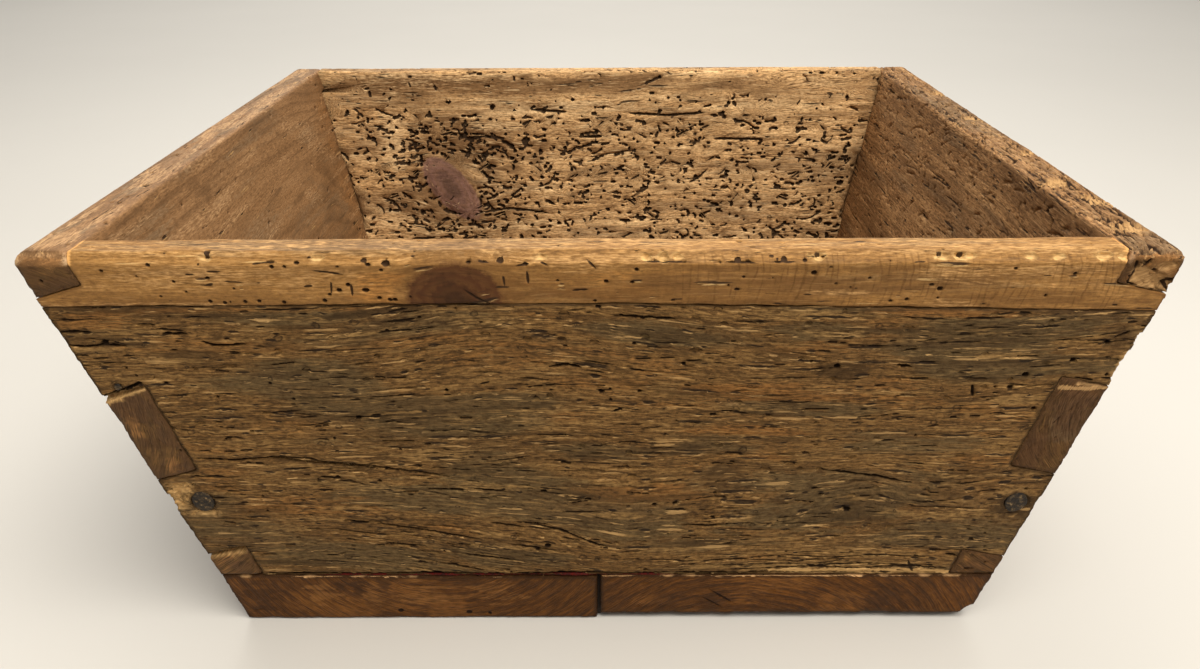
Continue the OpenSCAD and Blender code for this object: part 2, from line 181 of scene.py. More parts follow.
class Face:
    """Maps over one side of a board. relief and cut are depths into the wood, the others run from 0 to 1."""

    # mark darkens hollows with dirt and painted shade; fibre is pale wood, and on the lower edges of marks partly a
    # painted highlight
    MAPS = ("relief", "cut", "mark", "fibre", "orange", "grey", "dark", "pale")

    def __init__(self, plane, u_span, v_span, grain, seed, cell=0.45, cad_cuts=False):
        self.plane, self.cell, self.seed, self.cad_cuts = plane, cell, seed, cad_cuts
        self.random = np.random.default_rng(seed)
        u = np.arange(u_span[0] - 2, u_span[1] + 2 + cell, cell, dtype=np.float32)
        v = np.arange(v_span[0] - 2, v_span[1] + 2 + cell, cell, dtype=np.float32)
        self.low = (float(u[0]), float(v[0]))
        self.span = (u_span, v_span)
        self.u, self.v = np.meshgrid(u, v)
        self.g = grain.warped(self.u, self.v).astype(np.float32)
        down, along = np.gradient(self.g, cell)
        self.slope = -along / np.clip(down, 0.35, None)
        self.maps = {name: np.zeros(self.u.shape, np.float32) for name in self.MAPS}

    def __getitem__(self, name):
        return self.maps[name]

    def along(self, length, height, seed, u=None):
        """Noise stretched along the fibres."""
        return noise(self.u / length, self.g / height, self.seed + seed)

    def slope_at(self, u, v):
        rows, columns = self.slope.shape
        i = int(np.clip((v - self.low[1]) / self.cell, 0, rows - 1))
        j = int(np.clip((u - self.low[0]) / self.cell, 0, columns - 1))
        return float(self.slope[i, j])

    def window(self, points, reach):
        rows, columns = self.u.shape
        low = (points.min(0) - reach - self.low) / self.cell
        high = (points.max(0) + reach - self.low) / self.cell
        j0, i0 = max(int(low[0]), 0), max(int(low[1]), 0)
        j1, i1 = min(int(high[0]) + 2, columns), min(int(high[1]) + 2, rows)
        return (slice(i0, i1), slice(j0, j1)) if j1 > j0 and i1 > i0 else None

    def nearness(self, points, at):
        """Per cell: how far the polyline is, and how far along it that is, from 0 to 1."""
        u, v = self.u[at], self.v[at]
        steps = np.hypot(*np.diff(points, axis=0).T)
        total, done = max(float(steps.sum()), 1e-6), 0.0
        nearest, share = None, None
        for a, b, step in zip(points, points[1:], steps):
            d = b - a
            t = np.clip(((u - a[0]) * d[0] + (v - a[1]) * d[1]) / max(step * step, 1e-9), 0, 1)
            away = np.hypot(u - a[0] - t * d[0], v - a[1] - t * d[1])
            along = (done + t * step) / total
            if nearest is None:
                nearest, share = away, along
            else:
                closer = away < nearest
                nearest, share = np.where(closer, away, nearest), np.where(closer, along, share)
            done += step
        return nearest, share

    def groove(self, points, width, depth, taper=0.25, ragged=0.25, torn=0.0, darkness=1.0, wall=0.45):
        """Cuts a groove along a polyline, its inside painted dark with dirt and painted shade. torn is how pale the
        fibres are that its lower edge leaves; as this lip is always on the lower edge, it is partly a painted
        highlight, as if lit from above.
        """
        points = np.array(points, float)
        if len(points) == 1:
            points = np.vstack((points, points + 1e-3))
            taper = 0
        at = self.window(points, width + 2.5)
        if at is None:
            return
        away, share = self.nearness(points, at)
        half = width / 2
        if taper:
            half = half * np.clip(np.minimum(share, 1 - share) / taper, 0, 1) ** 0.6
        if ragged:
            half = half * (1 + ragged * noise(self.u[at] / 2.3, self.v[at] / 1.3, self.seed + 5))
        within = half - away
        np.maximum(self["cut"][at], depth * np.clip(within / wall + 0.2, 0, 1), out=self["cut"][at])
        # The groove's inside gets a dark tone: dirt and painted shade in the hollow
        tone = "mark" if darkness > 0.45 else "dark"
        np.maximum(self[tone][at], darkness * np.clip(0.5 + within / 0.9, 0, 1), out=self[tone][at])
        # The pale lip on the lower edge: torn fibres and a painted highlight, as if lit from above
        if torn:
            below, share = self.nearness(points + (0, width / 2 + 0.35), at)
            broken = ease(noise(self.u[at] / 3.1, self.v[at] / 0.8, self.seed + 10), -0.45, 0.35)
            lip = np.clip(0.5 + (0.3 - below) / 0.9, 0, 1) * np.clip(np.minimum(share, 1 - share) * 4, 0, 1) * broken
            np.maximum(self["fibre"][at], torn * lip, out=self["fibre"][at])
            self["relief"][at] -= 0.25 * torn * lip

    def hole(self, u, v, width, depth, stretch=1.0, darkness=1.0):
        """A worm hole, longer along the fibres if stretch is over 1."""
        half = 0.5 * width * (stretch - 1)
        tilt = self.slope_at(u, v)
        ends = [(u - half, v - half * tilt), (u + half, v + half * tilt)]
        self.groove(ends if half > 0.05 else ends[:1], width, depth, taper=0, ragged=0.15, darkness=darkness)

    def crater(self, u, v, long, high, depth, darkness=0.8):
        """A shallow oval pit with a painted shadow, a dark crescent under its upper edge, and a painted highlight on
        its pale lower edge, as if lit from above.
        """
        at = self.window(np.array([(u, v)]), long)
        if at is None:
            return
        x, y = (self.u[at] - u) / (long / 2), (self.v[at] - v - self.slope_at(u, v) * (self.u[at] - u)) / (high / 2)
        away = np.hypot(x, y) + 0.12 * noise(self.u[at] / 2, self.v[at] / 2, self.seed + 6)
        bowl = np.clip((1 - away) / 0.35, 0, 1)
        self["cut"][at] = np.maximum(self["cut"][at], depth * bowl)
        # Painted shadow under the upper edge
        crescent = np.clip(1 - np.abs(away - 0.72) / 0.4, 0, 1)
        np.maximum(self["mark"][at], darkness * crescent * ease(-y, -0.5, 0.2), out=self["mark"][at])
        # Painted highlight along the lower edge
        rim = np.clip(1 - np.abs(away - 1.0) / 0.25, 0, 1) * ease(y, 0.1, 0.8) * ease(noise(self.u[at] / 2, self.v[at] / 2, self.seed + 11), -0.6, 0.4)
        np.maximum(self["fibre"][at], 0.55 * rim, out=self["fibre"][at])

    def tint(self, name, u, v, long, high, amount=1.0, rough=0.35, tilt=None):
        """An oval patch of a tone, with a frayed outline that follows the fibres."""
        at = self.window(np.array([(u, v)]), max(long, high) * 0.8 + 10)
        if at is None:
            return
        lean = self.slope_at(u, v) if tilt is None else tilt
        x = (self.u[at] - u) / (long / 2)
        y = (self.v[at] - v - lean * (self.u[at] - u)) / (high / 2)
        away = np.hypot(x, y)
        away = away + rough * noise(self.u[at] / 22, self.g[at] / 3.2, self.seed + 7)
        away = away + 0.6 * rough * noise(self.u[at] / 7, self.g[at] / 1.1, self.seed + 8)
        np.maximum(self[name][at], amount * (1 - ease(away, 0.65, 1.15)), out=self[name][at])

    def spots(self, count, density=None, margin=1.5):
        """Seeded random places, as many as asked, thinned by a density from 0 to 1."""
        (u0, u1), (v0, v1) = self.span
        found = []
        for _ in range(count * 12):
            if len(found) == count:
                break
            u = self.random.uniform(u0 + margin, u1 - margin)
            v = self.random.uniform(v0 + margin, v1 - margin)
            if density is None or self.random.uniform() < density(u, v):
                found.append((u, v))
        return found

    def path(self, u, v, length, sway=0.05, pieces=3, turn=0.0, curl=0.0):
        """A polyline along the fibres through a place. turn is an angle to them, and curl bends it."""
        step = length / pieces
        points, x, y = [], u, v
        angle = turn + self.random.normal(0, sway)
        curl = self.random.normal(0, curl) / pieces if curl else 0.0
        for _ in range(pieces + 1):
            points.append((x, y))
            course = math.atan(self.slope_at(x, y)) + angle
            x, y = x + step * math.cos(course), y + step * math.sin(course)
            angle += curl + self.random.normal(0, sway)
        middle = np.mean(points, axis=0) - (u, v)
        return [tuple(np.array(p) - middle) for p in points]

    def sample(self, points):
        """Every map at points near the plane, in rows."""
        u, v = self.plane.flat(points)
        rows, columns = self.u.shape
        x = np.clip((u - self.low[0]) / self.cell, 0, columns - 1.001)
        y = np.clip((v - self.low[1]) / self.cell, 0, rows - 1.001)
        j, i = x.astype(np.int32), y.astype(np.int32)
        fx, fy = x - j, y - i
        stacked = np.stack([self.maps[name] for name in self.MAPS], -1)
        upper = stacked[i, j] * (1 - fx)[:, None] + stacked[i, j + 1] * fx[:, None]
        lower = stacked[i + 1, j] * (1 - fx)[:, None] + stacked[i + 1, j + 1] * fx[:, None]
        return upper * (1 - fy)[:, None] + lower * fy[:, None]


# Ways a side ages

def weathered(face, amount=1.0):
    """Grain that the weather has washed out: hard fibres stand proud, and the soft ones are gone."""
    broad = face.along(90, 11, 20)
    ridges = 1 - np.abs(face.along(42, 2.1, 21))
    threads = face.along(16, 0.95, 22)
    low = noise(face.u / 60, face.v / 38, face.seed + 23)
    worn = 0.75 + 0.5 * face.along(70, 16, 24)
    face["relief"][:] += amount * (
        0.28 * broad + 0.34 * (1 - ridges ** 2) * worn + 0.09 * threads + 0.35 * low
    )
    face["grey"][:] = np.maximum(face["grey"], 0.75 * ease(face.along(85, 13, 25), 0.05, 0.55))
    face["dark"][:] = np.maximum(face["dark"], 0.5 * ease(face.along(50, 3.2, 26), 0.3, 0.8))
    face["orange"][:] = np.maximum(face["orange"], 0.45 * ease(face.along(60, 9, 27), 0.3, 0.75))
    face["pale"][:] = np.maximum(face["pale"], 0.55 * ease(face.along(38, 2.4, 28), 0.42, 0.85))


def planed(face, amount=1.0):
    """Sounder wood: low waves, faint grain and a few soft stains."""
    face["relief"][:] += amount * (
        0.3 * noise(face.u / 55, face.v / 30, face.seed + 30)
        + 0.08 * (1 - np.abs(face.along(50, 2.4, 31)))
        + 0.035 * face.along(14, 0.8, 32)
    )
    face["grey"][:] = np.maximum(face["grey"], 0.45 * ease(face.along(70, 12, 33), 0.15, 0.7))
    face["dark"][:] = np.maximum(face["dark"], 0.4 * ease(face.along(45, 4, 34), 0.35, 0.85))
    face["pale"][:] = np.maximum(face["pale"], 0.45 * ease(face.along(60, 6, 35), 0.3, 0.8))


def slits(face, count, density=None, length=9.0, width=0.85, depth=1.5, torn=0.7):
    """Short dark splits along the fibres, many with pale torn fibres below. Their dark insides are dirt and painted
    shade, and the pale lip below is partly a painted highlight.
    """
    for u, v in face.spots(count, density):
        long = min(length * face.random.lognormal(0, 0.55), 4.5 * length)
        wide = width * face.random.uniform(0.55, 1.35)
        points = face.path(u, v, long, sway=0.06, pieces=3 if long > 6 else 2)
        pale = torn * face.random.uniform(0.5, 1) if face.random.uniform() < 0.6 else 0
        face.groove(points, wide, depth * face.random.uniform(0.5, 1.2), torn=pale, ragged=0.45)


def worm_holes(face, count, density=None, width=1.7, depth=3.0):
    for u, v in face.spots(count, density):
        wide = width * face.random.uniform(0.8, 1.25)
        face.hole(u, v, wide, depth * face.random.uniform(0.7, 1.1), stretch=face.random.choice((1.0, 1.0, 1.4, 2.0)))


def galleries(face, count, density=None, length=5.0, width=2.1, depth=2.0, across=0.16, darkness=0.85):
    """Worm galleries that the worn face has opened: commas, short channels, hooks and holes."""
    for u, v in face.spots(count, density):
        long = min(length * face.random.lognormal(0, 0.5), 5 * length)
        wide = width * face.random.uniform(0.65, 1.2)
        turn = face.random.normal(0, 0.2)
        if face.random.uniform() < across:
            turn, long = face.random.choice((-1, 1)) * face.random.uniform(0.7, 1.5), min(long, 1.2 * length)
        curl = 2.2 if long < 1.3 * length else 0.5
        points = face.path(u, v, long, sway=0.12, pieces=5, turn=turn, curl=curl)
        face.groove(points, wide, depth * face.random.uniform(0.5, 1.2), taper=0.12, ragged=0.45, torn=0.5, darkness=darkness * face.random.uniform(0.6, 1))
        if face.random.uniform() < 0.35:
            face.hole(*points[-1], wide * 1.2, depth * 1.5, darkness=darkness)


def scratches(face, count, length=14.0, width=0.35, depth=0.12, turn=0.0, darkness=0.25, density=None):
    for u, v in face.spots(count, density):
        long = length * face.random.uniform(0.5, 1.6)
        face.groove(face.path(u, v, long, sway=0.05, turn=turn), width, depth, darkness=darkness, wall=0.5, ragged=0)


# Boards

def fine_copy(node, voxel):
    """A dense, even mesh of a CAD node, into which wear can be cut."""
    rough = bpy.data.objects.new(node + "_rough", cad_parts[node].data.copy())
    bpy.context.scene.collection.objects.link(rough)
    even = rough.modifiers.new("even", "REMESH")
    even.mode = "VOXEL"
    even.voxel_size = voxel * MM
    graph = bpy.context.evaluated_depsgraph_get()
    mesh = bpy.data.meshes.new_from_object(rough.evaluated_get(graph))
    bpy.data.objects.remove(rough)
    mesh.materials.clear()
    return mesh


def numbers(items, name, width, kind=np.float32):
    found = np.empty(len(items) * width, kind)
    items.foreach_get(name, found)
    return found.reshape(-1, width) if width > 1 else found


def spread(values, edges, rounds):
    """Averages values over the mesh's neighbours, so many times."""
    count = len(values)
    a, b = edges[:, 0], edges[:, 1]
    degree = np.bincount(a, minlength=count) + np.bincount(b, minlength=count) + 1.0
    flat = values.reshape(count, -1)
    for _ in range(rounds):
        total = flat.copy()
        for k in range(flat.shape[1]):
            total[:, k] += np.bincount(a, flat[b, k], count) + np.bincount(b, flat[a, k], count)
        flat = total / degree[:, None]
    return flat.reshape(values.shape)


class Board:
    """One board: its mesh, its faces and its wear."""

    def __init__(self, node, voxel, outside, grain, rings, seed, ring_waves=0.6):
        self.node, self.outside, self.grain, self.seed, self.ring_waves = node, outside, grain, seed, ring_waves
        self.ring_middle, self.ring_width = rings
        self.mesh = fine_copy(node, voxel)
        self.points = numbers(self.mesh.vertices, "co", 3).astype(np.float64) / MM
        self.normals = numbers(self.mesh.vertex_normals, "vector", 3).astype(np.float64)
        self.edges = numbers(self.mesh.edges, "vertices", 2, np.int32)
        self.start = self.points.copy()
        smooth = spread(self.normals, self.edges, 4)
        bent = 1 - np.linalg.norm(smooth, axis=1)
        outer = ((self.points - spread(self.points, self.edges, 4)) * smooth).sum(1) > 0
        self.smooth = smooth / np.maximum(np.linalg.norm(smooth, axis=1), 1e-6)[:, None]
        self.arris = np.clip(bent * 6, 0, 1) * outer
        self.broken = np.zeros(len(self.points))
        self.faces = []

    def add(self, face):
        self.faces.append(face)
        return face

    def wear_edges(self, amount=0.7, size=9.0, reach=6, where=None):
        """Rounds and nibbles the arrises. where gives a strength per point."""
        worn = spread(self.arris, self.edges, reach)
        rough = 0.55 + 0.75 * noise_3d(self.start / size, self.seed) + 0.35 * noise_3d(self.start / (size / 3.1), self.seed + 1)
        strength = amount if where is None else amount * where(self.start)
        self.points -= self.smooth * (strength * np.clip(rough, 0, None) * np.clip(worn * 1.6, 0, 1))[:, None]

    @staticmethod
    def but_not_at_seam(points):
        """Less wear where the rail meets the front board at the box's corners."""
        at_seam = ease(np.abs(HEIGHT - points[:, 2] - SEAM_Q - 3), 14, 6)
        return 1 - 0.85 * at_seam * ease(np.abs(points[:, 0]), 246, 262)

    def bite(self, centre, radii, towards, rough=0.25, grit=3.0, fresh=1.0):
        """Breaks away the wood inside a rough ellipsoid: points in it go on to its far side, into the wood."""
        centre, radii, towards = (np.array(x, float) for x in (centre, radii, towards))
        near = np.flatnonzero((np.abs(self.points - centre) < radii * (1 + 1.5 * rough)).all(1))
        if not len(near):
            return
        start = self.start[near]
        size = 1 + rough * (noise_3d(start / grit, self.seed + 3) + 0.5 * noise_3d(start * 2.6 / grit, self.seed + 4))
        scaled = (self.points[near] - centre) / radii
        course = towards / radii
        a, b, c = course @ course, scaled @ course, (scaled ** 2).sum(1) - size ** 2
        inside = c < 0
        far = (-b + np.sqrt(np.clip(b * b - a * c, 0, None))) / a
        self.points[near[inside]] += far[inside][:, None] * towards
        self.broken[near[inside]] = fresh

    def flatten(self, point, outward, wave=0.0, where=None):
        """Planes off what stands out past a plane, such as a chamfer."""
        outward = np.array(outward, float) / np.linalg.norm(outward)
        proud = (self.points - np.array(point, float)) @ outward
        proud = proud + wave * noise_3d(self.start * (0.03, 0.03, 0.0), self.seed + 5)
        if where is not None:
            proud = proud * where(self.start)
        self.points -= np.clip(proud, 0, None)[:, None] * outward

    def cut_faces(self):
        """Moves the points of every face into the wood as its maps say, and gathers the tones."""
        count = len(self.points)
        tones = np.zeros((count, len(Face.MAPS)))
        total = np.full(count, 1e-6)
        shift = np.zeros((count, 3))
        for face in self.faces:
            towards = -(self.normals @ face.plane.inward)
            weight = ease(towards, 0.5, 0.9) * (np.abs(face.plane.deep(self.start)) < 7)
            at = np.flatnonzero(weight > 0)
            maps = face.sample(self.start[at])
            if face.cad_cuts:
                # The slits, crack and galleries that the CAD solid already has get the dark hollow tone of the rest,
                # deeper points darker: dirt and painted shade
                v = face.plane.flat(self.start[at])[1]
                inner = ease(v, face.span[1][0] + 5, face.span[1][0] + 8) * ease(-v, -face.span[1][1] + 5, -face.span[1][1] + 8)
                sunk = ease(face.plane.deep(self.start[at]), 0.3, 0.9) * inner
                maps[:, 2] = np.maximum(maps[:, 2], sunk)
            w = weight[at]
            depth = maps[:, 0] + maps[:, 1]
            shift[at] += face.plane.inward * (w * depth)[:, None]
            tones[at] += maps * w[:, None]
            total[at] += w
            if face is self.faces[0]:
                self.shown = weight > 0.5
        self.points += shift
        self.tones = tones / np.maximum(total, 1.0)[:, None]
        self.total = total

    def finish(self, name, slot, material):
        """Makes the Blender object, with its coordinates and tones as attributes."""
        mesh, start = self.mesh, self.start
        mesh.vertices.foreach_set("co", (self.points * MM).astype(np.float32).ravel())
        u, v = self.outside.flat(start)
        deep = self.outside.deep(start)
        g = self.grain.warped(u, v)
        board = np.stack((u, g, deep), -1) * MM
        ring = np.hypot(g - self.ring_middle[0], deep - self.ring_middle[1]) / self.ring_width
        ring = ring + self.ring_waves * noise(u / 190, v / 90, self.seed + 8) + 0.12 * noise(u / 30, g / 9, self.seed + 9)
        end = ease(np.abs(self.normals @ self.outside.along), 0.55, 0.85) * ease(HEIGHT - start[:, 2], 5.2, 6.2)
        worn = np.clip(spread(self.arris, self.edges, 5) * 1.7, 0, 1)
        rim = ease(start[:, 2], HEIGHT - 6.8, HEIGHT - 5.8)
        dirt = worn * (1 - rim)
        worn = worn * rim
        store(mesh, "board", "FLOAT_VECTOR", "vector", board)
        store(mesh, "ring", "FLOAT", "value", ring)
        self.tones[:, 6] = np.maximum(self.tones[:, 6], 0.7 * dirt)
        store(mesh, "tones", "FLOAT_COLOR", "color", self.tones[:, 4:8])
        store(mesh, "marks", "FLOAT_COLOR", "color", np.stack((self.tones[:, 2], self.tones[:, 3], worn, end), -1))
        store(mesh, "broken", "FLOAT", "value", np.clip(spread(self.broken, self.edges, 1), 0, 1))
        obj = bpy.data.objects.new(name, mesh)
        bpy.context.scene.collection.objects.link(obj)
        triangles = 2 * len(mesh.polygons)
        if triangles > MOST_FACES:
            # Joints and plain wood lose points first, so that marks and the face in view stay sharp
            weights = obj.vertex_groups.new(name="plain")
            busy = np.maximum(self.tones[:, 2], self.tones[:, 3]) > 0.15
            plain = np.where(self.total < 0.5, 3, np.where(busy, 0, np.where(self.shown, 1, 2)))
            for kind, weight in enumerate((0.0, 0.45, 0.7, 1.0)):
                weights.add(np.flatnonzero(plain == kind).tolist(), weight, "REPLACE")
            fewer = obj.modifiers.new("fewer", "DECIMATE")
            fewer.ratio = MOST_FACES / triangles
            fewer.vertex_group, fewer.vertex_group_factor = "plain", 0.0004
            graph = bpy.context.evaluated_depsgraph_get()
            obj.data = bpy.data.meshes.new_from_object(obj.evaluated_get(graph))
            obj.modifiers.clear()
            bpy.data.meshes.remove(mesh)
        obj.data.polygons.foreach_set("use_smooth", np.ones(len(obj.data.polygons), bool))
        obj.data.materials.append(material)
        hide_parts(self.node)
        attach(obj, "root")
        return obj


def store(mesh, name, kind, field, values):
    layer = mesh.attributes.new(name, kind, "POINT")
    layer.data.foreach_set(field, np.ascontiguousarray(values, np.float32).ravel())


# Shader nodes

def paint(red, green, blue):
    """A colour given as it shows on a screen, 0 to 255, as linear light."""
    return tuple(((c / 255 + 0.055) / 1.055) ** 2.4 if c > 10 else c / 255 / 12.92 for c in (red, green, blue)) + (1.0,)


class Shader:
    """Short ways to add nodes to one material."""

    def __init__(self, name):
        self.material = bpy.data.materials.new(name)
        self.material.use_nodes = True
        self.tree = self.material.node_tree
        self.tree.nodes.clear()
        self.out = self.tree.nodes.new("ShaderNodeOutputMaterial")
        self.surface = self.tree.nodes.new("ShaderNodeBsdfPrincipled")
        self.tree.links.new(self.surface.outputs[0], self.out.inputs["Surface"])

    def put(self, socket, value):
        if isinstance(value, bpy.types.NodeSocket):
            self.tree.links.new(value, socket)
        elif value is not None:
            socket.default_value = value

    def attribute(self, name, output="Fac"):
        node = self.tree.nodes.new("ShaderNodeAttribute")
        node.attribute_name = name
        return node.outputs[output]

    def parts(self, socket):
        node = self.tree.nodes.new("ShaderNodeSeparateColor")
        self.put(node.inputs[0], socket)
        return node.outputs[0], node.outputs[1], node.outputs[2]

    def math(self, operation, a, b=None, clamp=False):
        node = self.tree.nodes.new("ShaderNodeMath")
        node.operation, node.use_clamp = operation, clamp
        self.put(node.inputs[0], a)
        self.put(node.inputs[1], b)
        return node.outputs[0]

    def stretch(self, vector, factors):
        """A vector or colour, multiplied part by part, or by one number."""
        node = self.tree.nodes.new("ShaderNodeVectorMath")
        node.operation = "MULTIPLY"
        self.put(node.inputs[0], vector)
        self.put(node.inputs[1], factors)
        return node.outputs[0]

    def between(self, share, a, b):
        """A vector part of the way from a to b."""
        node = self.tree.nodes.new("ShaderNodeMix")
        node.data_type = "VECTOR"
        vectors = [s for s in node.inputs if s.type == "VECTOR"]
        self.put(node.inputs[0], share)
        self.put(vectors[-2], a)
        self.put(vectors[-1], b)
        return [s for s in node.outputs if s.type == "VECTOR"][0]

    def add(self, a, b):
        """The sum of two vectors."""
        node = self.tree.nodes.new("ShaderNodeVectorMath")
        self.put(node.inputs[0], a)
        self.put(node.inputs[1], b)
        return node.outputs[0]

    def axes(self, vector):
        node = self.tree.nodes.new("ShaderNodeSeparateXYZ")
        self.put(node.inputs[0], vector)
        return node.outputs[0], node.outputs[1], node.outputs[2]

    def offset(self, noise):
        """A noise from 0 to 1, brought to a middle of 0."""
        return self.math("SUBTRACT", noise, 0.5)

    def noise(self, vector, detail=3.0, rough=0.55, distortion=0.0, scale=1.0):
        node = self.tree.nodes.new("ShaderNodeTexNoise")
        self.put(node.inputs["Vector"], vector)
        self.put(node.inputs["Scale"], scale)
        self.put(node.inputs["Detail"], detail)
        self.put(node.inputs["Roughness"], rough)
        self.put(node.inputs["Distortion"], distortion)
        return node.outputs[0]

    def flecks(self, vector, scale, share, small, large):
        """Scattered flecks, in some cells of a lattice: 1 in a fleck's middle, 0 at its rim and outside.

        The second output is how far the place is from the middle, 1 being the rim.
        """
        node = self.tree.nodes.new("ShaderNodeTexVoronoi")
        self.put(node.inputs["Vector"], self.stretch(vector, scale))
        self.put(node.inputs["Scale"], 1.0)
        chance, width, _ = self.parts(node.outputs["Color"])
        away = self.math("DIVIDE", node.outputs["Distance"], self.step(width, 0, 1, small, large, smooth=False))
        chosen = self.step(chance, 1 - share, 1 - share + 0.01)
        return self.math("MULTIPLY", self.step(away, 1.0, 0.65), chosen), self.math("ADD", away, self.step(chosen, 0, 1, 9, 0))

    def step(self, value, low, high, to_low=0.0, to_high=1.0, smooth=True):
        node = self.tree.nodes.new("ShaderNodeMapRange")
        node.interpolation_type = "SMOOTHSTEP" if smooth else "LINEAR"
        self.put(node.inputs["Value"], value)
        for name, number in (("From Min", low), ("From Max", high), ("To Min", to_low), ("To Max", to_high)):
            self.put(node.inputs[name], number)
        return node.outputs[0]

    def ramp(self, value, stops):
        node = self.tree.nodes.new("ShaderNodeValToRGB")
        self.put(node.inputs[0], value)
        elements = node.color_ramp.elements
        while len(elements) < len(stops):
            elements.new(0.5)
        for element, (place, colour) in zip(elements, stops):
            element.position = place
            element.color = colour
        return node.outputs[0]

    def mix(self, share, a, b, blend="MIX"):
        node = self.tree.nodes.new("ShaderNodeMix")
        node.data_type, node.blend_type = "RGBA", blend
        colours = [s for s in node.inputs if s.type == "RGBA"]
        self.put(node.inputs[0], share)
        self.put(colours[0], a)
        self.put(colours[1], b)
        return [s for s in node.outputs if s.type == "RGBA"][0]

    def bump(self, height, distance, strength=1.0):
        node = self.tree.nodes.new("ShaderNodeBump")
        self.put(node.inputs["Height"], height)
        self.put(node.inputs["Distance"], distance)
        self.put(node.inputs["Strength"], strength)
        self.put(self.surface.inputs["Normal"], node.outputs[0])

    def place(self):
        return self.tree.nodes.new("ShaderNodeTexCoord").outputs["Object"]


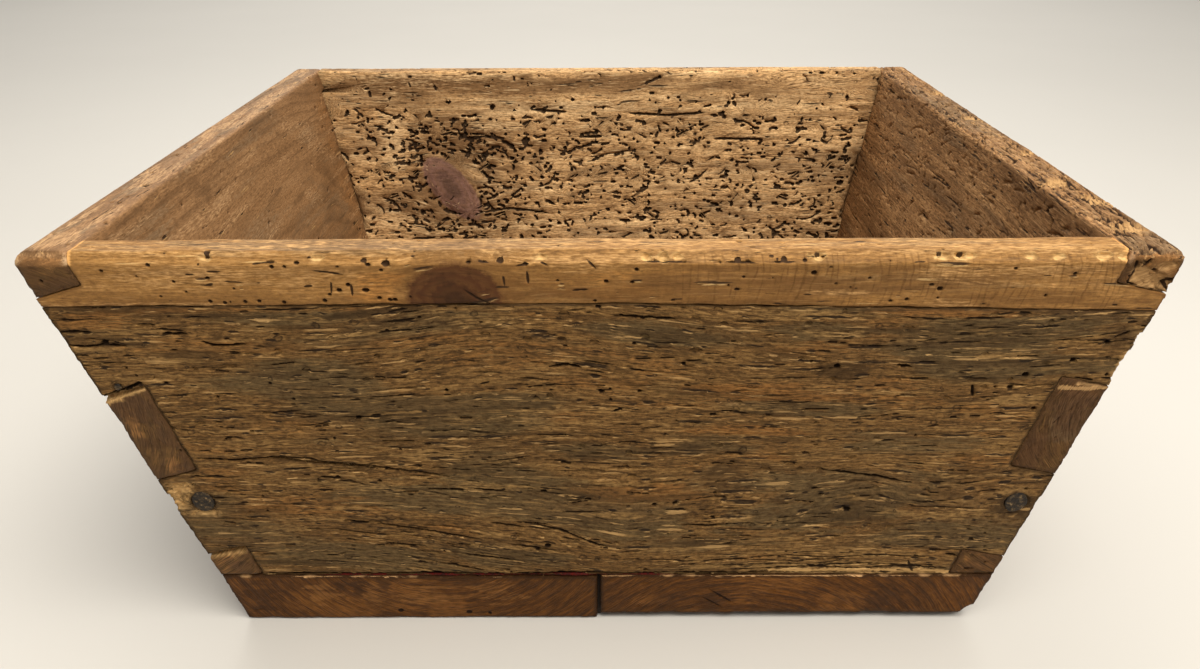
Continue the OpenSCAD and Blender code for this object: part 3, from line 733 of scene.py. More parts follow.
def wood(name, base, light, dark, grey, orange, fibre, hollow_dirt_and_shade, knot, tip, shine=0.75, contrast=1.0, hairs=0.5, rough_grain=0.5,
         rings=0.35, worn=None, worn_amount=0.6, relief=1.0, knots=(), skin=None, saw=None):
    """Wood that reads its grain and wear from the board's attributes.

    rough_grain is how many small splits, torn fibres and pits the weather has left, from 0 to 1. Each of knots
    is the middle, half sizes and tilt of one, in x and in height. skin darkens the board's outside, and saw is
    where along x the marks of a saw begin and end.
    """
    s = Shader(name)
    board, place = s.attribute("board", "Vector"), s.place()
    orange_tone, grey_tone, dark_tone = s.parts(s.attribute("tones", "Color"))
    pale_tone = s.attribute("tones", "Alpha")
    # mark: hollows darkened with dirt and painted shade; torn: pale lips and rims, partly painted highlight; edge:
    # rubbed arrises
    mark, torn, edge = s.parts(s.attribute("marks", "Color"))
    end = s.attribute("marks", "Alpha")
    side = s.math("SUBTRACT", 1.0, end)
    # On end grain the streaks turn to follow the growth rings
    arcs = s.stretch(s.attribute("ring"), (0.0, 0.0, 0.0094))
    board = s.between(end, board, s.add(s.stretch(board, (1.0, 0.13, 0.0)), arcs))
    # Streaks along the fibres, from broad bands to single fibres
    broad = s.noise(s.stretch(board, (5, 46, 46)), detail=3)
    streak = s.noise(s.stretch(board, (22, 300, 300)), detail=4, rough=0.7)
    fine = s.noise(s.stretch(board, (190, 1000, 1000)), detail=3, rough=0.6)
    hair = s.noise(s.stretch(board, (45, 800, 800)), detail=2, rough=0.5)
    speck = s.noise(place, detail=3, rough=0.65, scale=280)
    grit = s.noise(s.stretch(board, (500, 1000, 1000)), detail=4, rough=0.7)
    blend = s.math("ADD", s.math("MULTIPLY", broad, 0.3), s.math("MULTIPLY", streak, 0.35))
    blend = s.math("ADD", blend, s.math("MULTIPLY", fine, 0.35))
    reach = 0.12 / contrast
    colour = s.ramp(blend, ((0.5 - reach, dark), (0.495, base), (0.5 + reach, light)))
    lines = s.ramp(fine, ((0.36, (0.5, 0.47, 0.44, 1)), (0.47, (1, 1, 1, 1)), (0.64, (1.3, 1.28, 1.22, 1))))
    colour = s.mix(min(0.8 * contrast, 1.0), colour, lines, "MULTIPLY")
    grains = s.ramp(grit, ((0.38, (0.62, 0.6, 0.57, 1)), (0.5, (1, 1, 1, 1)), (0.62, (1.36, 1.34, 1.28, 1))))
    colour = s.mix(0.3 + 0.5 * rough_grain, colour, grains, "MULTIPLY")
    # End grain: bands that follow the rings, and open pores
    bands = s.math("ADD", s.math("MULTIPLY", streak, 0.6), s.math("MULTIPLY", fine, 0.4))
    bands = s.ramp(bands, ((0.4, (0.64, 0.61, 0.56, 1)), (0.5, (1, 1, 1, 1)), (0.61, (1.34, 1.29, 1.18, 1))))
    pores = s.ramp(grit, ((0.4, (0.5, 0.47, 0.43, 1)), (0.5, (1, 1, 1, 1)), (0.62, (1.35, 1.3, 1.22, 1))))
    shade = s.step(dark_tone, 0.0, 1.0, 1.0, 0.4)
    sawn = s.mix(1.0, s.mix(1.0, tip, bands, "MULTIPLY"), pores, "MULTIPLY")
    colour = s.mix(s.math("MULTIPLY", end, 0.92), colour, s.stretch(sawn, shade))
    # Growth rings
    ring = s.math("FRACT", s.math("ADD", s.attribute("ring"), s.math("MULTIPLY", s.offset(streak), 0.5)))
    late = s.math("MULTIPLY", s.step(ring, 0.45, 0.92), s.step(ring, 0.99, 0.93))
    colour = s.mix(s.math("MULTIPLY", late, s.step(end, 0, 1, rings, max(rings, 0.5), smooth=False)), colour, dark)
    # Stains and patches, frayed by the streaks
    ragged = s.math("MULTIPLY", s.math("SUBTRACT", s.math("ADD", streak, fine), 1.0), 1.5)
    variety = s.ramp(fine, ((0.36, (0.6, 0.58, 0.55, 1)), (0.5, (0.97, 0.97, 0.97, 1)), (0.64, (1.3, 1.3, 1.28, 1))))
    for tone, tint, amount in ((orange_tone, orange, 0.75), (grey_tone, grey, 0.75), (dark_tone, dark, 0.85), (pale_tone, light, 0.8)):
        share = s.step(s.math("ADD", tone, ragged), 0.1, 0.85, 0.0, amount)
        share = s.math("MULTIPLY", share, s.step(tone, 0.02, 0.25))
        colour = s.mix(share, colour, s.mix(1.0, tint, variety, "MULTIPLY"))
    if saw:
        colour = saw_marks(s, colour, place, board, speck, *saw)
    # Single dark and pale fibres
    colour = s.mix(s.math("MULTIPLY", s.step(hair, 0.42, 0.36, 0.0, hairs), side), colour, dark)
    colour = s.mix(s.math("MULTIPLY", s.step(hair, 0.60, 0.66, 0.0, hairs), side), colour, light)
    for x, height, half_x, half_height, tilt in knots:
        colour = knot_colour(s, colour, place, speck, streak, (x, height, half_x, half_height, tilt), knot, dark)
    if skin:
        outside = s.math("MULTIPLY", s.step(s.axes(s.attribute("board", "Vector"))[2], 0.0045, 0.0015), s.step(s.axes(place)[2], (HEIGHT - 0.5) * MM, (HEIGHT - 5) * MM))
        colour = s.mix(s.math("MULTIPLY", outside, side), colour, skin, "MULTIPLY")
    speckle = s.ramp(speck, ((0.36, (0.7, 0.68, 0.66, 1)), (0.6, (1.1, 1.1, 1.1, 1))))
    colour = s.mix(0.35 + 0.45 * rough_grain, colour, speckle, "MULTIPLY")
    if worn:
        rub = s.math("ADD", edge, s.math("MULTIPLY", s.math("SUBTRACT", s.math("ADD", speck, fine), 1.0), 0.8))
        rubbed = s.math("MULTIPLY", s.step(rub, 0.25, 0.8, 0.0, worn_amount), s.step(end, 1.0, 0.0, 0.25, 1.0))
        colour = s.mix(rubbed, colour, worn)
    # Small splits, too fine for the mesh: their dark insides are painted shade, and the pale lip under each is torn
    # fibres and a painted highlight, as if lit from above
    bent = s.add(board, s.stretch(s.offset(streak), (0.0, 0.005, 0.005)))
    under = s.add(bent, (0.0, -0.0008, 0.0))
    long_size, short_size = (36, 430, 430), (110, 480, 480)
    long_split, _ = s.flecks(bent, long_size, 0.26 * rough_grain, 0.12, 0.45)
    short_split, _ = s.flecks(bent, short_size, 0.3 * rough_grain, 0.12, 0.42)
    long_lip, _ = s.flecks(under, long_size, 0.26 * rough_grain, 0.12, 0.45)
    short_lip, _ = s.flecks(under, short_size, 0.3 * rough_grain, 0.12, 0.42)
    pale_fibre, _ = s.flecks(s.add(bent, (0.31, 0.17, 0.0)), (34, 600, 600), 0.35 * rough_grain, 0.12, 0.45)
    open_split = s.math("MULTIPLY", s.math("MAXIMUM", long_split, short_split), s.math("MULTIPLY", side, 0.9))
    lip = s.math("MULTIPLY", s.math("MAXIMUM", long_lip, short_lip), s.step(fine, 0.4, 0.6))
    colour = s.mix(s.math("MULTIPLY", pale_fibre, s.math("MULTIPLY", side, 0.5)), colour, fibre)
    colour = s.mix(s.math("MULTIPLY", lip, s.math("MULTIPLY", side, 0.6)), colour, fibre)
    # Small round pits: a dark ring of painted shade and a lighter middle
    _, pit = s.flecks(s.add(place, s.stretch(s.offset(speck), (0.004, 0.004, 0.004))), (100, 100, 130),
                      0.4 * max(rough_grain - 0.3, 0.0), 0.1, 0.3)
    pit_ring = s.math("MULTIPLY", s.step(pit, 1.0, 0.7), s.step(pit, 0.3, 0.7, 0.0, 0.8))
    pit_ring = s.math("MULTIPLY", pit_ring, s.step(fine, 0.4, 0.55, 0.3, 1.0))
    colour = s.mix(pit_ring, colour, hollow_dirt_and_shade)
    colour = s.mix(open_split, colour, hollow_dirt_and_shade)
    # Pale lips (torn fibres and painted highlight), broken wood, and hollows darkened with dirt and painted shade
    crisp_lip_and_highlight = s.step(s.math("ADD", torn, s.math("MULTIPLY", s.offset(fine), 1.6)), 0.35, 0.8, 0.0, 0.85)
    colour = s.mix(crisp_lip_and_highlight, colour, fibre)
    broken = s.math("MULTIPLY", s.attribute("broken"), s.step(fine, 0.38, 0.58, 0.5, 0.95))
    colour = s.mix(broken, colour, fibre)
    crisp_hollow_dirt_and_shade = s.step(s.math("ADD", mark, s.math("MULTIPLY", s.offset(speck), 0.6)), 0.32, 0.68, 0.0, 0.94)
    colour = s.mix(crisp_hollow_dirt_and_shade, colour, hollow_dirt_and_shade)
    s.put(s.surface.inputs["Base Color"], colour)
    rough = s.step(s.math("ADD", streak, s.math("MULTIPLY", mark, 0.6)), 0.2, 1.2, shine - 0.1, shine + 0.18, smooth=False)
    s.put(s.surface.inputs["Roughness"], rough)
    s.surface.inputs["Specular IOR Level"].default_value = 0.13
    height = s.math("ADD", s.math("MULTIPLY", streak, 0.7), s.math("MULTIPLY", fine, 0.6))
    height = s.math("ADD", height, s.math("ADD", s.math("MULTIPLY", speck, 0.25 + 0.6 * rough_grain), s.math("MULTIPLY", hair, 0.2)))
    height = s.math("ADD", height, s.math("MULTIPLY", grit, 0.3 + 0.3 * rough_grain))
    height = s.math("SUBTRACT", height, s.math("ADD", open_split, s.math("MULTIPLY", s.step(pit, 1.0, 0.6), 0.5)))
    s.bump(s.math("ADD", height, s.math("MULTIPLY", lip, 0.3)), 0.0008 * relief, 0.75)
    return s.material


def saw_marks(s, colour, place, board, speck, start, stop):
    """Faint dark arcs across the fibres, left by the saw on the outside of the board."""
    x, _, z = s.axes(place)
    from_middle = s.math("SUBTRACT", z, (HEIGHT - 14) * MM)
    bowed = s.math("ADD", x, s.math("MULTIPLY", s.math("MULTIPLY", from_middle, from_middle), 9.0))
    wander = s.noise(s.stretch(place, (60, 1, 25)), detail=3)
    broken = s.noise(s.stretch(place, (120, 1, 70)), detail=3, rough=0.7)
    wave = s.math("SINE", s.math("ADD", s.math("MULTIPLY", bowed, 2 * math.pi / 0.0036), s.math("MULTIPLY", wander, 22)))
    line = s.math("MULTIPLY", s.step(wave, 0.3, 1.0), s.step(s.axes(board)[2], 0.004, 0.002))
    reach = s.math("MULTIPLY", s.step(x, start * MM, (start + 60) * MM), s.step(x, stop * MM, (stop - 15) * MM))
    line = s.math("MULTIPLY", s.math("MULTIPLY", line, reach), s.step(broken, 0.42, 0.6, 0.0, 0.9))
    return s.mix(line, colour, (0.68, 0.64, 0.58, 1), "MULTIPLY")


def knot_colour(s, colour, place, speck, streak, shape, heart, edge):
    """Paints a knot that goes through the board: its disc, rings, pith and soft dark edge."""
    x, height, half_x, half_height, tilt = shape
    turned = s.tree.nodes.new("ShaderNodeMapping")
    turned.vector_type = "TEXTURE"
    s.put(turned.inputs["Vector"], place)
    turned.inputs["Location"].default_value = (x * MM, 0, height * MM)
    turned.inputs["Rotation"].default_value = (0, tilt, 0)
    turned.inputs["Scale"].default_value = (half_x * MM, 1.0, half_height * MM)
    flat = s.stretch(turned.outputs[0], (1, 0, 1))
    length = s.tree.nodes.new("ShaderNodeVectorMath")
    length.operation = "LENGTH"
    s.put(length.inputs[0], flat)
    away = s.math("ADD", length.outputs["Value"], s.math("MULTIPLY", s.math("ADD", s.offset(speck), s.offset(streak)), 0.22))
    colour = s.mix(s.step(away, 1.6, 0.95, 0.0, 0.45), colour, edge)
    ring = s.math("SINE", s.math("ADD", s.math("MULTIPLY", away, 24), s.math("MULTIPLY", speck, 3)))
    deep = tuple(0.3 * c for c in heart[:3]) + (1.0,)
    toned = s.mix(s.step(ring, -1, 1, 0.0, 0.35, smooth=False), heart, edge)
    toned = s.mix(s.step(away, 0.62, 0.1, 0.0, 0.75), toned, deep)
    toned = s.mix(s.step(streak, 0.47, 0.4, 0.0, 0.4), toned, deep)
    inside = s.step(away, 1.08, 0.86, 0.0, 0.92)
    return s.mix(inside, colour, toned)


def old_iron(name):
    """Forged iron gone dark brown, with rust in its hollows."""
    s = Shader(name)
    place = s.place()
    patches = s.noise(place, detail=5, rough=0.65, scale=420)
    pits = s.noise(place, detail=3, rough=0.6, scale=1500)
    colour = s.ramp(patches, ((0.34, paint(24, 20, 16)), (0.5, paint(46, 38, 29)), (0.6, paint(80, 64, 44)), (0.7, paint(150, 124, 88))))
    colour = s.mix(s.step(pits, 0.58, 0.7, 0, 0.6), colour, paint(22, 18, 15))
    s.put(s.surface.inputs["Base Color"], colour)
    s.put(s.surface.inputs["Roughness"], s.step(patches, 0.2, 0.8, 0.5, 0.85, smooth=False))
    s.surface.inputs["Metallic"].default_value = 0.1
    s.surface.inputs["Specular IOR Level"].default_value = 0.25
    s.bump(s.math("ADD", patches, s.math("MULTIPLY", pits, 0.5)), 0.0006, 0.8)
    return s.material


def plain_floor(name, colour):
    s = Shader(name)
    cloud = s.noise(s.place(), detail=2, scale=3)
    s.put(s.surface.inputs["Base Color"], s.ramp(cloud, ((0.3, colour), (0.7, tuple(0.985 * c for c in colour[:3]) + (1.0,)))))
    s.surface.inputs["Roughness"].default_value = 0.75
    return s.material


# Colours, as they look in even light

# The hollow colour of each wood darkens slits, holes and pits: dirt and painted shade
WEATHERED = dict(
    base=paint(113, 82, 45), light=paint(148, 114, 68), dark=paint(66, 47, 25), grey=paint(90, 74, 48), tip=paint(90, 65, 36),
    orange=paint(140, 95, 48), fibre=paint(212, 168, 108), hollow_dirt_and_shade=paint(34, 22, 12), knot=paint(84, 52, 30),
)
RAIL = dict(
    base=paint(155, 112, 60), light=paint(196, 151, 96), dark=paint(108, 73, 36), grey=paint(124, 97, 64), tip=paint(104, 74, 40),
    orange=paint(170, 113, 52), fibre=paint(226, 186, 124), hollow_dirt_and_shade=paint(50, 32, 17), knot=paint(77, 43, 22),
)
WORMY = dict(
    base=paint(203, 159, 107), light=paint(230, 192, 140), dark=paint(112, 79, 47), grey=paint(124, 100, 74), tip=paint(104, 74, 42),
    orange=paint(192, 134, 76), fibre=paint(236, 200, 148), hollow_dirt_and_shade=paint(40, 26, 14), knot=paint(138, 101, 87),
)
LEFT_END = dict(
    base=paint(147, 109, 71), light=paint(178, 139, 97), dark=paint(88, 61, 36), grey=paint(126, 103, 76), tip=paint(92, 66, 34),
    orange=paint(150, 105, 60), fibre=paint(216, 170, 108), hollow_dirt_and_shade=paint(42, 27, 15), knot=paint(96, 60, 36),
)
RIGHT_END = dict(
    base=paint(150, 110, 69), light=paint(186, 144, 97), dark=paint(88, 60, 35), grey=paint(116, 95, 70), tip=paint(92, 66, 35),
    orange=paint(164, 112, 58), fibre=paint(192, 150, 98), hollow_dirt_and_shade=paint(44, 28, 16), knot=paint(96, 60, 36),
)
FLOOR_WOOD = dict(
    base=paint(104, 67, 31), light=paint(126, 84, 40), dark=paint(56, 34, 15), grey=paint(86, 66, 42), tip=paint(92, 56, 18),
    orange=paint(122, 78, 33), fibre=paint(222, 172, 116), hollow_dirt_and_shade=paint(28, 17, 9), knot=paint(84, 52, 30),
)
OLD_SKIN = (0.52, 0.48, 0.42, 1)       # what handling and smoke leave of the light on an outside


# The front board: dark, weathered, with waves in its grain

def drop_to_the_right(u, v):
    """Low down, the fibres slope down towards the right as far as the middle."""
    return -0.17 * np.clip(u + 150, 0, 165) * ease(v, 128, 205)


def hump_at_the_left(u, v):
    return 9.0 * np.exp(-(((u + 40) / 62) ** 2) - (((v - 44) / 30) ** 2))


def wave_at_the_right(u, v):
    return 3.0 * np.sin((u - 120) / 17.0) * np.exp(-(((u - 160) / 62) ** 2) - (((v - 140) / 26) ** 2))


LONG_CRACK = ((-224, 127), (-201, 128.5), (-180, 126.5), (-160, 127.5), (-155, 130), (-132, 133), (-102, 138), (-84, 142))
DARK_SLITS = (
    ((-271, 44), (-262, 43.5), (-254, 44)), ((-269, 52), (-260, 53), (-249, 51.5), (-238, 52.5)), ((-219, 45), (-206, 45)),
    ((-201, 49), (-195, 52), (-186, 52), (-177, 51)), ((7, 34.5), (24, 36), (40, 37)), ((7, 95), (12, 93)),
    ((-149, 175), (-132, 177)), ((-131, 177), (-99, 184), (-70, 191)), ((-128, 194), (-103, 197)), ((-84, 203), (-50, 209)),
    ((-98, 211), (-68, 218)), ((-64, 177), (-44, 181)), ((-42, 177), (-22, 184), (-3, 195), (9, 199)), ((-73, 151), (-53, 153)),
    ((47, 179), (62, 180.5), (79, 178.5)), ((121, 136), (140, 139), (157, 142), (176, 147)), ((-98, 151), (-74, 152)),
    ((-26, 66), (-16, 64.5), (-9, 66.5)), ((258, 49), (265, 45)), ((-157, 141.5), (-147, 142.5)),
    ((-53, 195), (-46, 196.5), (-25, 201)), ((194, 78), (196, 86)), ((152, 65), (160, 66.5)),
)
BIG_HOLES = (
    (-249, 50.5, 3.0), (-129, 99, 2.6), (-147, 142, 2.4), (142, 167, 3.2), (125, 155, 2.0), (242, 63, 2.6), (220, 72, 3.0),
    (214, 80, 2.6), (156, 66, 2.6), (122, 66, 3.0), (230, 94, 2.4), (31, 163, 2.4), (43, 162, 2.6), (-32, 153, 2.6), (65, 173, 2.4),
    (-31, 196, 3.0), (-80, 81, 1.8), (1, 82, 2.4), (21, 82, 2.0), (43, 64, 2.0), (-124, 145, 2.0), (256, 52, 2.4), (123, 222, 3.0),
)
OVAL_PITS = (
    (-189.5, 65, 13, 3.0), (-163, 56, 4.6, 4.2), (-151, 68, 5.2, 4.0), (-208, 67, 3.4, 3.0), (-113, 59, 3.6, 3.4), (-121, 74, 4.2, 3.4),
    (-36, 49, 5.4, 3.6), (-19, 49, 6, 3.2), (23, 48, 5.4, 4.0), (49, 56, 7.5, 3.4), (62, 40, 4.6, 3.2), (104, 40, 4.6, 3.2),
    (73, 89, 5.6, 2.8), (121, 74, 4.4, 3.2), (16, 124, 4.8, 5.4), (14, 134, 4.4, 4.6), (18, 141, 5.6, 3.4), (-10, 119, 4.2, 3.4),
    (2, 118, 4.2, 3.0), (64, 119, 7.6, 4.0), (73, 125, 12, 4.0), (92, 136, 7.2, 4.2), (105, 133, 8.0, 3.2), (111, 136, 4.0, 3.4),
    (122, 136, 4.6, 3.0), (-26, 85, 4.2, 4.8), (-135, 47, 3.0, 2.6), (-230, 73, 3.4, 3.2),
)


LEFT_NAIL = (-227, 160, 19)                     # x, height below the rim, and width of the dirt round it
RIGHT_NAIL = (238, 162, 30)


def front_marks(face):
    """What the photograph shows on the front board, in x and in height below the rim."""
    face.groove(LONG_CRACK, 1.4, 3.2, taper=0.06, ragged=0.5, torn=0.35)
    for points in DARK_SLITS:
        face.groove(points, 1.5, 2.5, taper=0.2, ragged=0.45, torn=0.6)
    for u, v, wide in BIG_HOLES:
        face.hole(u, v, wide, 3.2, stretch=1.25)
    for u, v, long, high in OVAL_PITS:
        face.crater(u, v, long, high, 1.3)
    for u, v in ((-230, 74.5), (-56, 70), (-19, 111), (-22, 91), (-135, 49)):
        face.tint("pale", u, v, 5, 2.4, 1.0, rough=0.2)
        face.groove(((u - 2, v + 0.5), (u + 2, v)), 1.2, 0.5, darkness=0, torn=1.0)
    # Orange wood shows where the dark skin has gone
    for u, v, long, high, amount in (
        (-215, 31.5, 130, 3.2, 0.9), (-115, 30.5, 60, 2.2, 0.6), (168, 33.5, 88, 6.5, 1.0), (85, 83, 90, 16, 0.85), (20, 160, 84, 34, 0.75),
        (84, 109, 78, 8, 0.9), (93, 127, 34, 3, 0.9), (-215, 155, 36, 40, 0.35), (-252, 38, 44, 12, 0.65), (150, 90, 60, 14, 0.5),
        (-110, 86, 70, 16, 0.45), (0, 77, 60, 12, 0.55), (-25, 168, 50, 14, 0.5), (215, 98, 60, 20, 0.4), (195, 195, 60, 22, 0.35),
        (-55, 62, 60, 14, 0.4), (62, 138, 40, 18, 0.5), (-160, 108, 90, 14, 0.35), (120, 52, 36, 12, 0.5),
    ):
        face.tint("orange", u, v, long, high, 0.8 * amount)
    for u, v, long, high, amount in (
        (0, 122, 70, 16, 0.6), (-95, 158, 120, 26, 0.8), (-60, 205, 90, 20, 0.6), (130, 165, 130, 44, 0.85), (60, 118, 60, 14, 0.6),
        (190, 48, 120, 24, 0.7), (-100, 42, 120, 20, 0.55), (-200, 190, 80, 34, 0.6), (62, 142, 30, 26, 0.5), (110, 44, 60, 14, 0.6),
        (-170, 205, 90, 20, 0.8), (40, 45, 90, 16, 0.4), (170, 118, 90, 18, 0.6), (50, 195, 70, 16, 0.6), (-140, 52, 60, 10, 0.4),
    ):
        face.tint("grey", u, v, long, high, amount)
    for u, v, long, high, amount in (
        (122, 68, 34, 12, 0.7), (70, 139, 22, 28, 0.55), (-110, 32, 90, 6, 0.6), (195, 51, 90, 8, 0.5), (40, 56, 24, 8, 0.5),
        (-185, 212, 60, 10, 0.5), (58, 194, 40, 10, 0.7), (-240, 51, 40, 7, 0.8), (-262, 44, 26, 4, 0.7), (262, 48, 20, 14, 0.6),
        (90, 60, 40, 10, 0.45), (-30, 92, 60, 8, 0.35), (-232, 146, 16, 5, 0.8), (95, 30, 130, 3, 0.5),
    ):
        face.tint("dark", u, v, long, high, amount)
    for u, v, long, high, amount in (
        (-150, 133, 70, 8, 0.55), (-95, 126, 50, 8, 0.8), (-190, 118, 70, 8, 0.4), (100, 35, 90, 7, 0.6), (-240, 158, 12, 16, 0.9),
        (205, 60, 44, 4, 1.0), (223, 88, 36, 8, 0.8), (120, 214, 150, 9, 0.8), (-150, 148, 90, 10, 0.4), (196, 170, 60, 10, 0.4),
        (-130, 46, 44, 4, 0.7), (-50, 38, 70, 8, 0.45), (-255, 55.5, 40, 3, 0.8), (150, 203, 90, 8, 0.5),
    ):
        face.tint("pale", u, v, long, high, amount)
    # Long pale fibres, and layers torn along the bottom
    for points in (
        ((-144, 48), (-135, 46.5), (-119, 43.5)), ((-85, 49), (-64, 40), (-45, 35.5), (-19, 36.5), (10, 40), (41, 44)),
        ((-70, 43), (-45, 38.5), (-19, 39.5), (12, 43)), ((79, 125), (108, 128)), ((102, 179), (139, 179.5)), ((197, 59.5), (219, 61)),
        ((-110, 130), (-80, 128)), ((-150, 137), (-118, 139)), ((150, 57), (176, 59)), ((-20, 207), (10, 208)), ((20, 190), (47, 184)),
        ((-216, 136), (-190, 136)), ((-180, 142), (-160, 141)), ((186, 164), (215, 167)), ((150, 182), (180, 184)),
    ):
        face.groove(points, 0.7, 0.35, darkness=0.25, torn=1.0)
    for v, start, stop in ((209, 11, 150), (213, 40, 205), (206, 90, 200)):
        wave = [(u, v + 0.9 * math.sin(u / 9.0 + v)) for u in np.linspace(start, stop, 12)]
        face.groove(wave, 0.8, 1.3, taper=0.1, ragged=0.7, torn=0.9)
    for u in np.arange(90, 206, 4.0):
        face.groove(((u - 2.5, 221.5), (u + 3, 221.5)), 3.2 + 1.2 * math.sin(u / 7.0), 1.6, darkness=0.1, torn=0.3, ragged=0.6)
    face.tint("pale", 157, 220, 116, 8, 1.0, rough=0.3)
    face.tint("fibre", 157, 219.4, 112, 7.5, 1.0, rough=0.25)
    face.tint("fibre", 82, 221, 44, 2.6, 0.8, rough=0.4)
    # The joint with the floor is a dark, uneven gap: a cut groove, darkened with dirt and painted shade
    face.groove([(u, 220.9 + 0.4 * math.sin(u / 13.0) + 0.25 * math.sin(u / 3.1)) for u in np.arange(-204, 100, 4.0)],
                2.3, 2.6, taper=0.02, ragged=0.5)
    face.groove([(u, 215.6 - 0.8 * math.sin(u / 9.0)) for u in np.arange(96, 212, 3.0)], 1.3, 1.6, taper=0.05, ragged=0.8)
    # Open joints above the fingers
    face.groove(((-264, 86.6), (-252, 81.6), (-238, 75.6)), 2.0, 3.2, taper=0.03, ragged=0.3)
    face.groove(((246, 74), (256, 75.5)), 1.2, 1.6, taper=0.1, ragged=0.5)
    face.groove(((206, 204), (214, 206), (228, 209)), 1.6, 1.8, taper=0.1, ragged=0.6)
    for u, v, wide in (LEFT_NAIL, RIGHT_NAIL):
        face.tint("dark", u, v, wide, 0.9 * wide, 0.85, rough=0.5)
    face.groove(((185, 209), (188, 216), (191, 222)), 2.0, 0.6, darkness=0.75, torn=0.9)


def make_front_board():
    grain = Grain(3, bends=(drop_to_the_right, hump_at_the_left, wave_at_the_right))
    board = Board("front_board", FINE, FRONT, grain, rings=((330, -60), 5.5), seed=21)
    front = board.add(Face(FRONT, (-280, 280), (27, 223), grain, 31, cell=0.4, cad_cuts=True))
    weathered(front)

    def often(u, v):
        return 0.35 + 0.65 * (0.5 + 0.5 * math.sin(v / 9.0 + u / 60.0)) * (0.75 if v < 200 else 1)

    slits(front, 620, often, length=7.5, width=0.8, depth=1.5)
    slits(front, 160, often, length=20, width=0.65, depth=1.2, torn=0.85)
    worm_holes(front, 70, width=1.5, depth=2.2)
    for u, v in front.spots(64):
        front.crater(u, v, front.random.uniform(3, 7), front.random.uniform(2.4, 3.8), 1.0, darkness=0.8)
    front_marks(front)
    scratches(front, 120, length=9, width=0.35, depth=0.15, turn=1.4, darkness=0.3, density=lambda u, v: -35 < u < 55 and 145 < v < 180)
    inside = board.add(Face(FRONT.inside(FRONT_T), (-260, 260), (27, 223), grain, 32, cell=0.5))
    planed(inside, 1.3)
    galleries(inside, 150, lambda u, v: ease(np.abs(u - 60), 160, 30), length=6)
    slits(inside, 120, length=12, width=0.7, depth=1.0, torn=0.4)
    worm_holes(inside, 90)
    for plane in (LEFT, RIGHT):
        sawn_ends(board.add(Face(plane, (-230, -196), (27, 223), Grain(5, waves=0.3), 33, cell=0.5)))
    board.cut_faces()
    board.wear_edges(0.75, size=9, reach=5, where=board.but_not_at_seam)
    # The right edge is ragged above the middle finger, and the left lower corner is broken by the nail
    for q, deep in ((50, 0.8), (60, 1.3), (67, 1.7), (74, 1.1)):
        board.bite(corner_point(1, q), (deep + 0.6, 9, 5.0), (-1, 0.1, 0), rough=0.35, grit=2.5)
    for x, q, size in ((-240, 151, (6.5, 2.6, 4.2)), (-243, 160, (6, 2.4, 6.5)), (-231, 169, (10, 2.2, 2.2)), (-236, 147, (7, 2.2, 2.0))):
        board.bite(front_point(x, q), size, (0, 1, 0.1), rough=0.6, grit=2.2)
    # Torn wood along the bottom, right of the middle
    for x in np.arange(106, 208, 5.0):
        board.bite(front_point(x, 220.4), (5.0, 1.2, 3.4 + 0.9 * math.sin(x / 9.0)), (0, 1, 0), rough=0.45, grit=3.0)
    return board.finish("front_board_aged", "weathered_pine", wood("weathered pine", shine=0.8, rings=0.2, contrast=0.85, hairs=0.6, rough_grain=0.8, relief=1.5, **WEATHERED))


def sawn_ends(face):
    """End grain: fine checks across the face, and a dusty skin."""
    face["relief"][:] += 0.16 * noise(face.u / 1.6, face.v / 3.0, face.seed + 40) + 0.3 * noise(face.u / 9, face.v / 12, face.seed + 41)
    face["dark"][:] = np.maximum(face["dark"], 0.5 * ease(noise(face.u / 12, face.v / 10, face.seed + 42), 0.0, 0.6))
    (u0, u1), (v0, v1) = face.span
    for u, v in face.spots(int((u1 - u0) * (v1 - v0) / 190)):
        turn = face.random.normal(0, 0.5)
        points = [(u, v), (u + 2.5 * math.cos(turn), v + 2.5 * math.sin(turn)), (u + 5 * math.cos(turn), v + 4 * math.sin(turn))]
        face.groove(points, 0.5, 0.7, darkness=0.7)
    worm_holes(face, int((u1 - u0) * (v1 - v0) / 900) + 1, width=1.5)


# The rail: a sounder, paler strip with a worn, bright upper edge

RAIL_KNOT = (-70, 25, 24.0, 20)                 # x, depth below the rim, and half sizes
BACK_KNOT = (-139, 105, 37, 17)


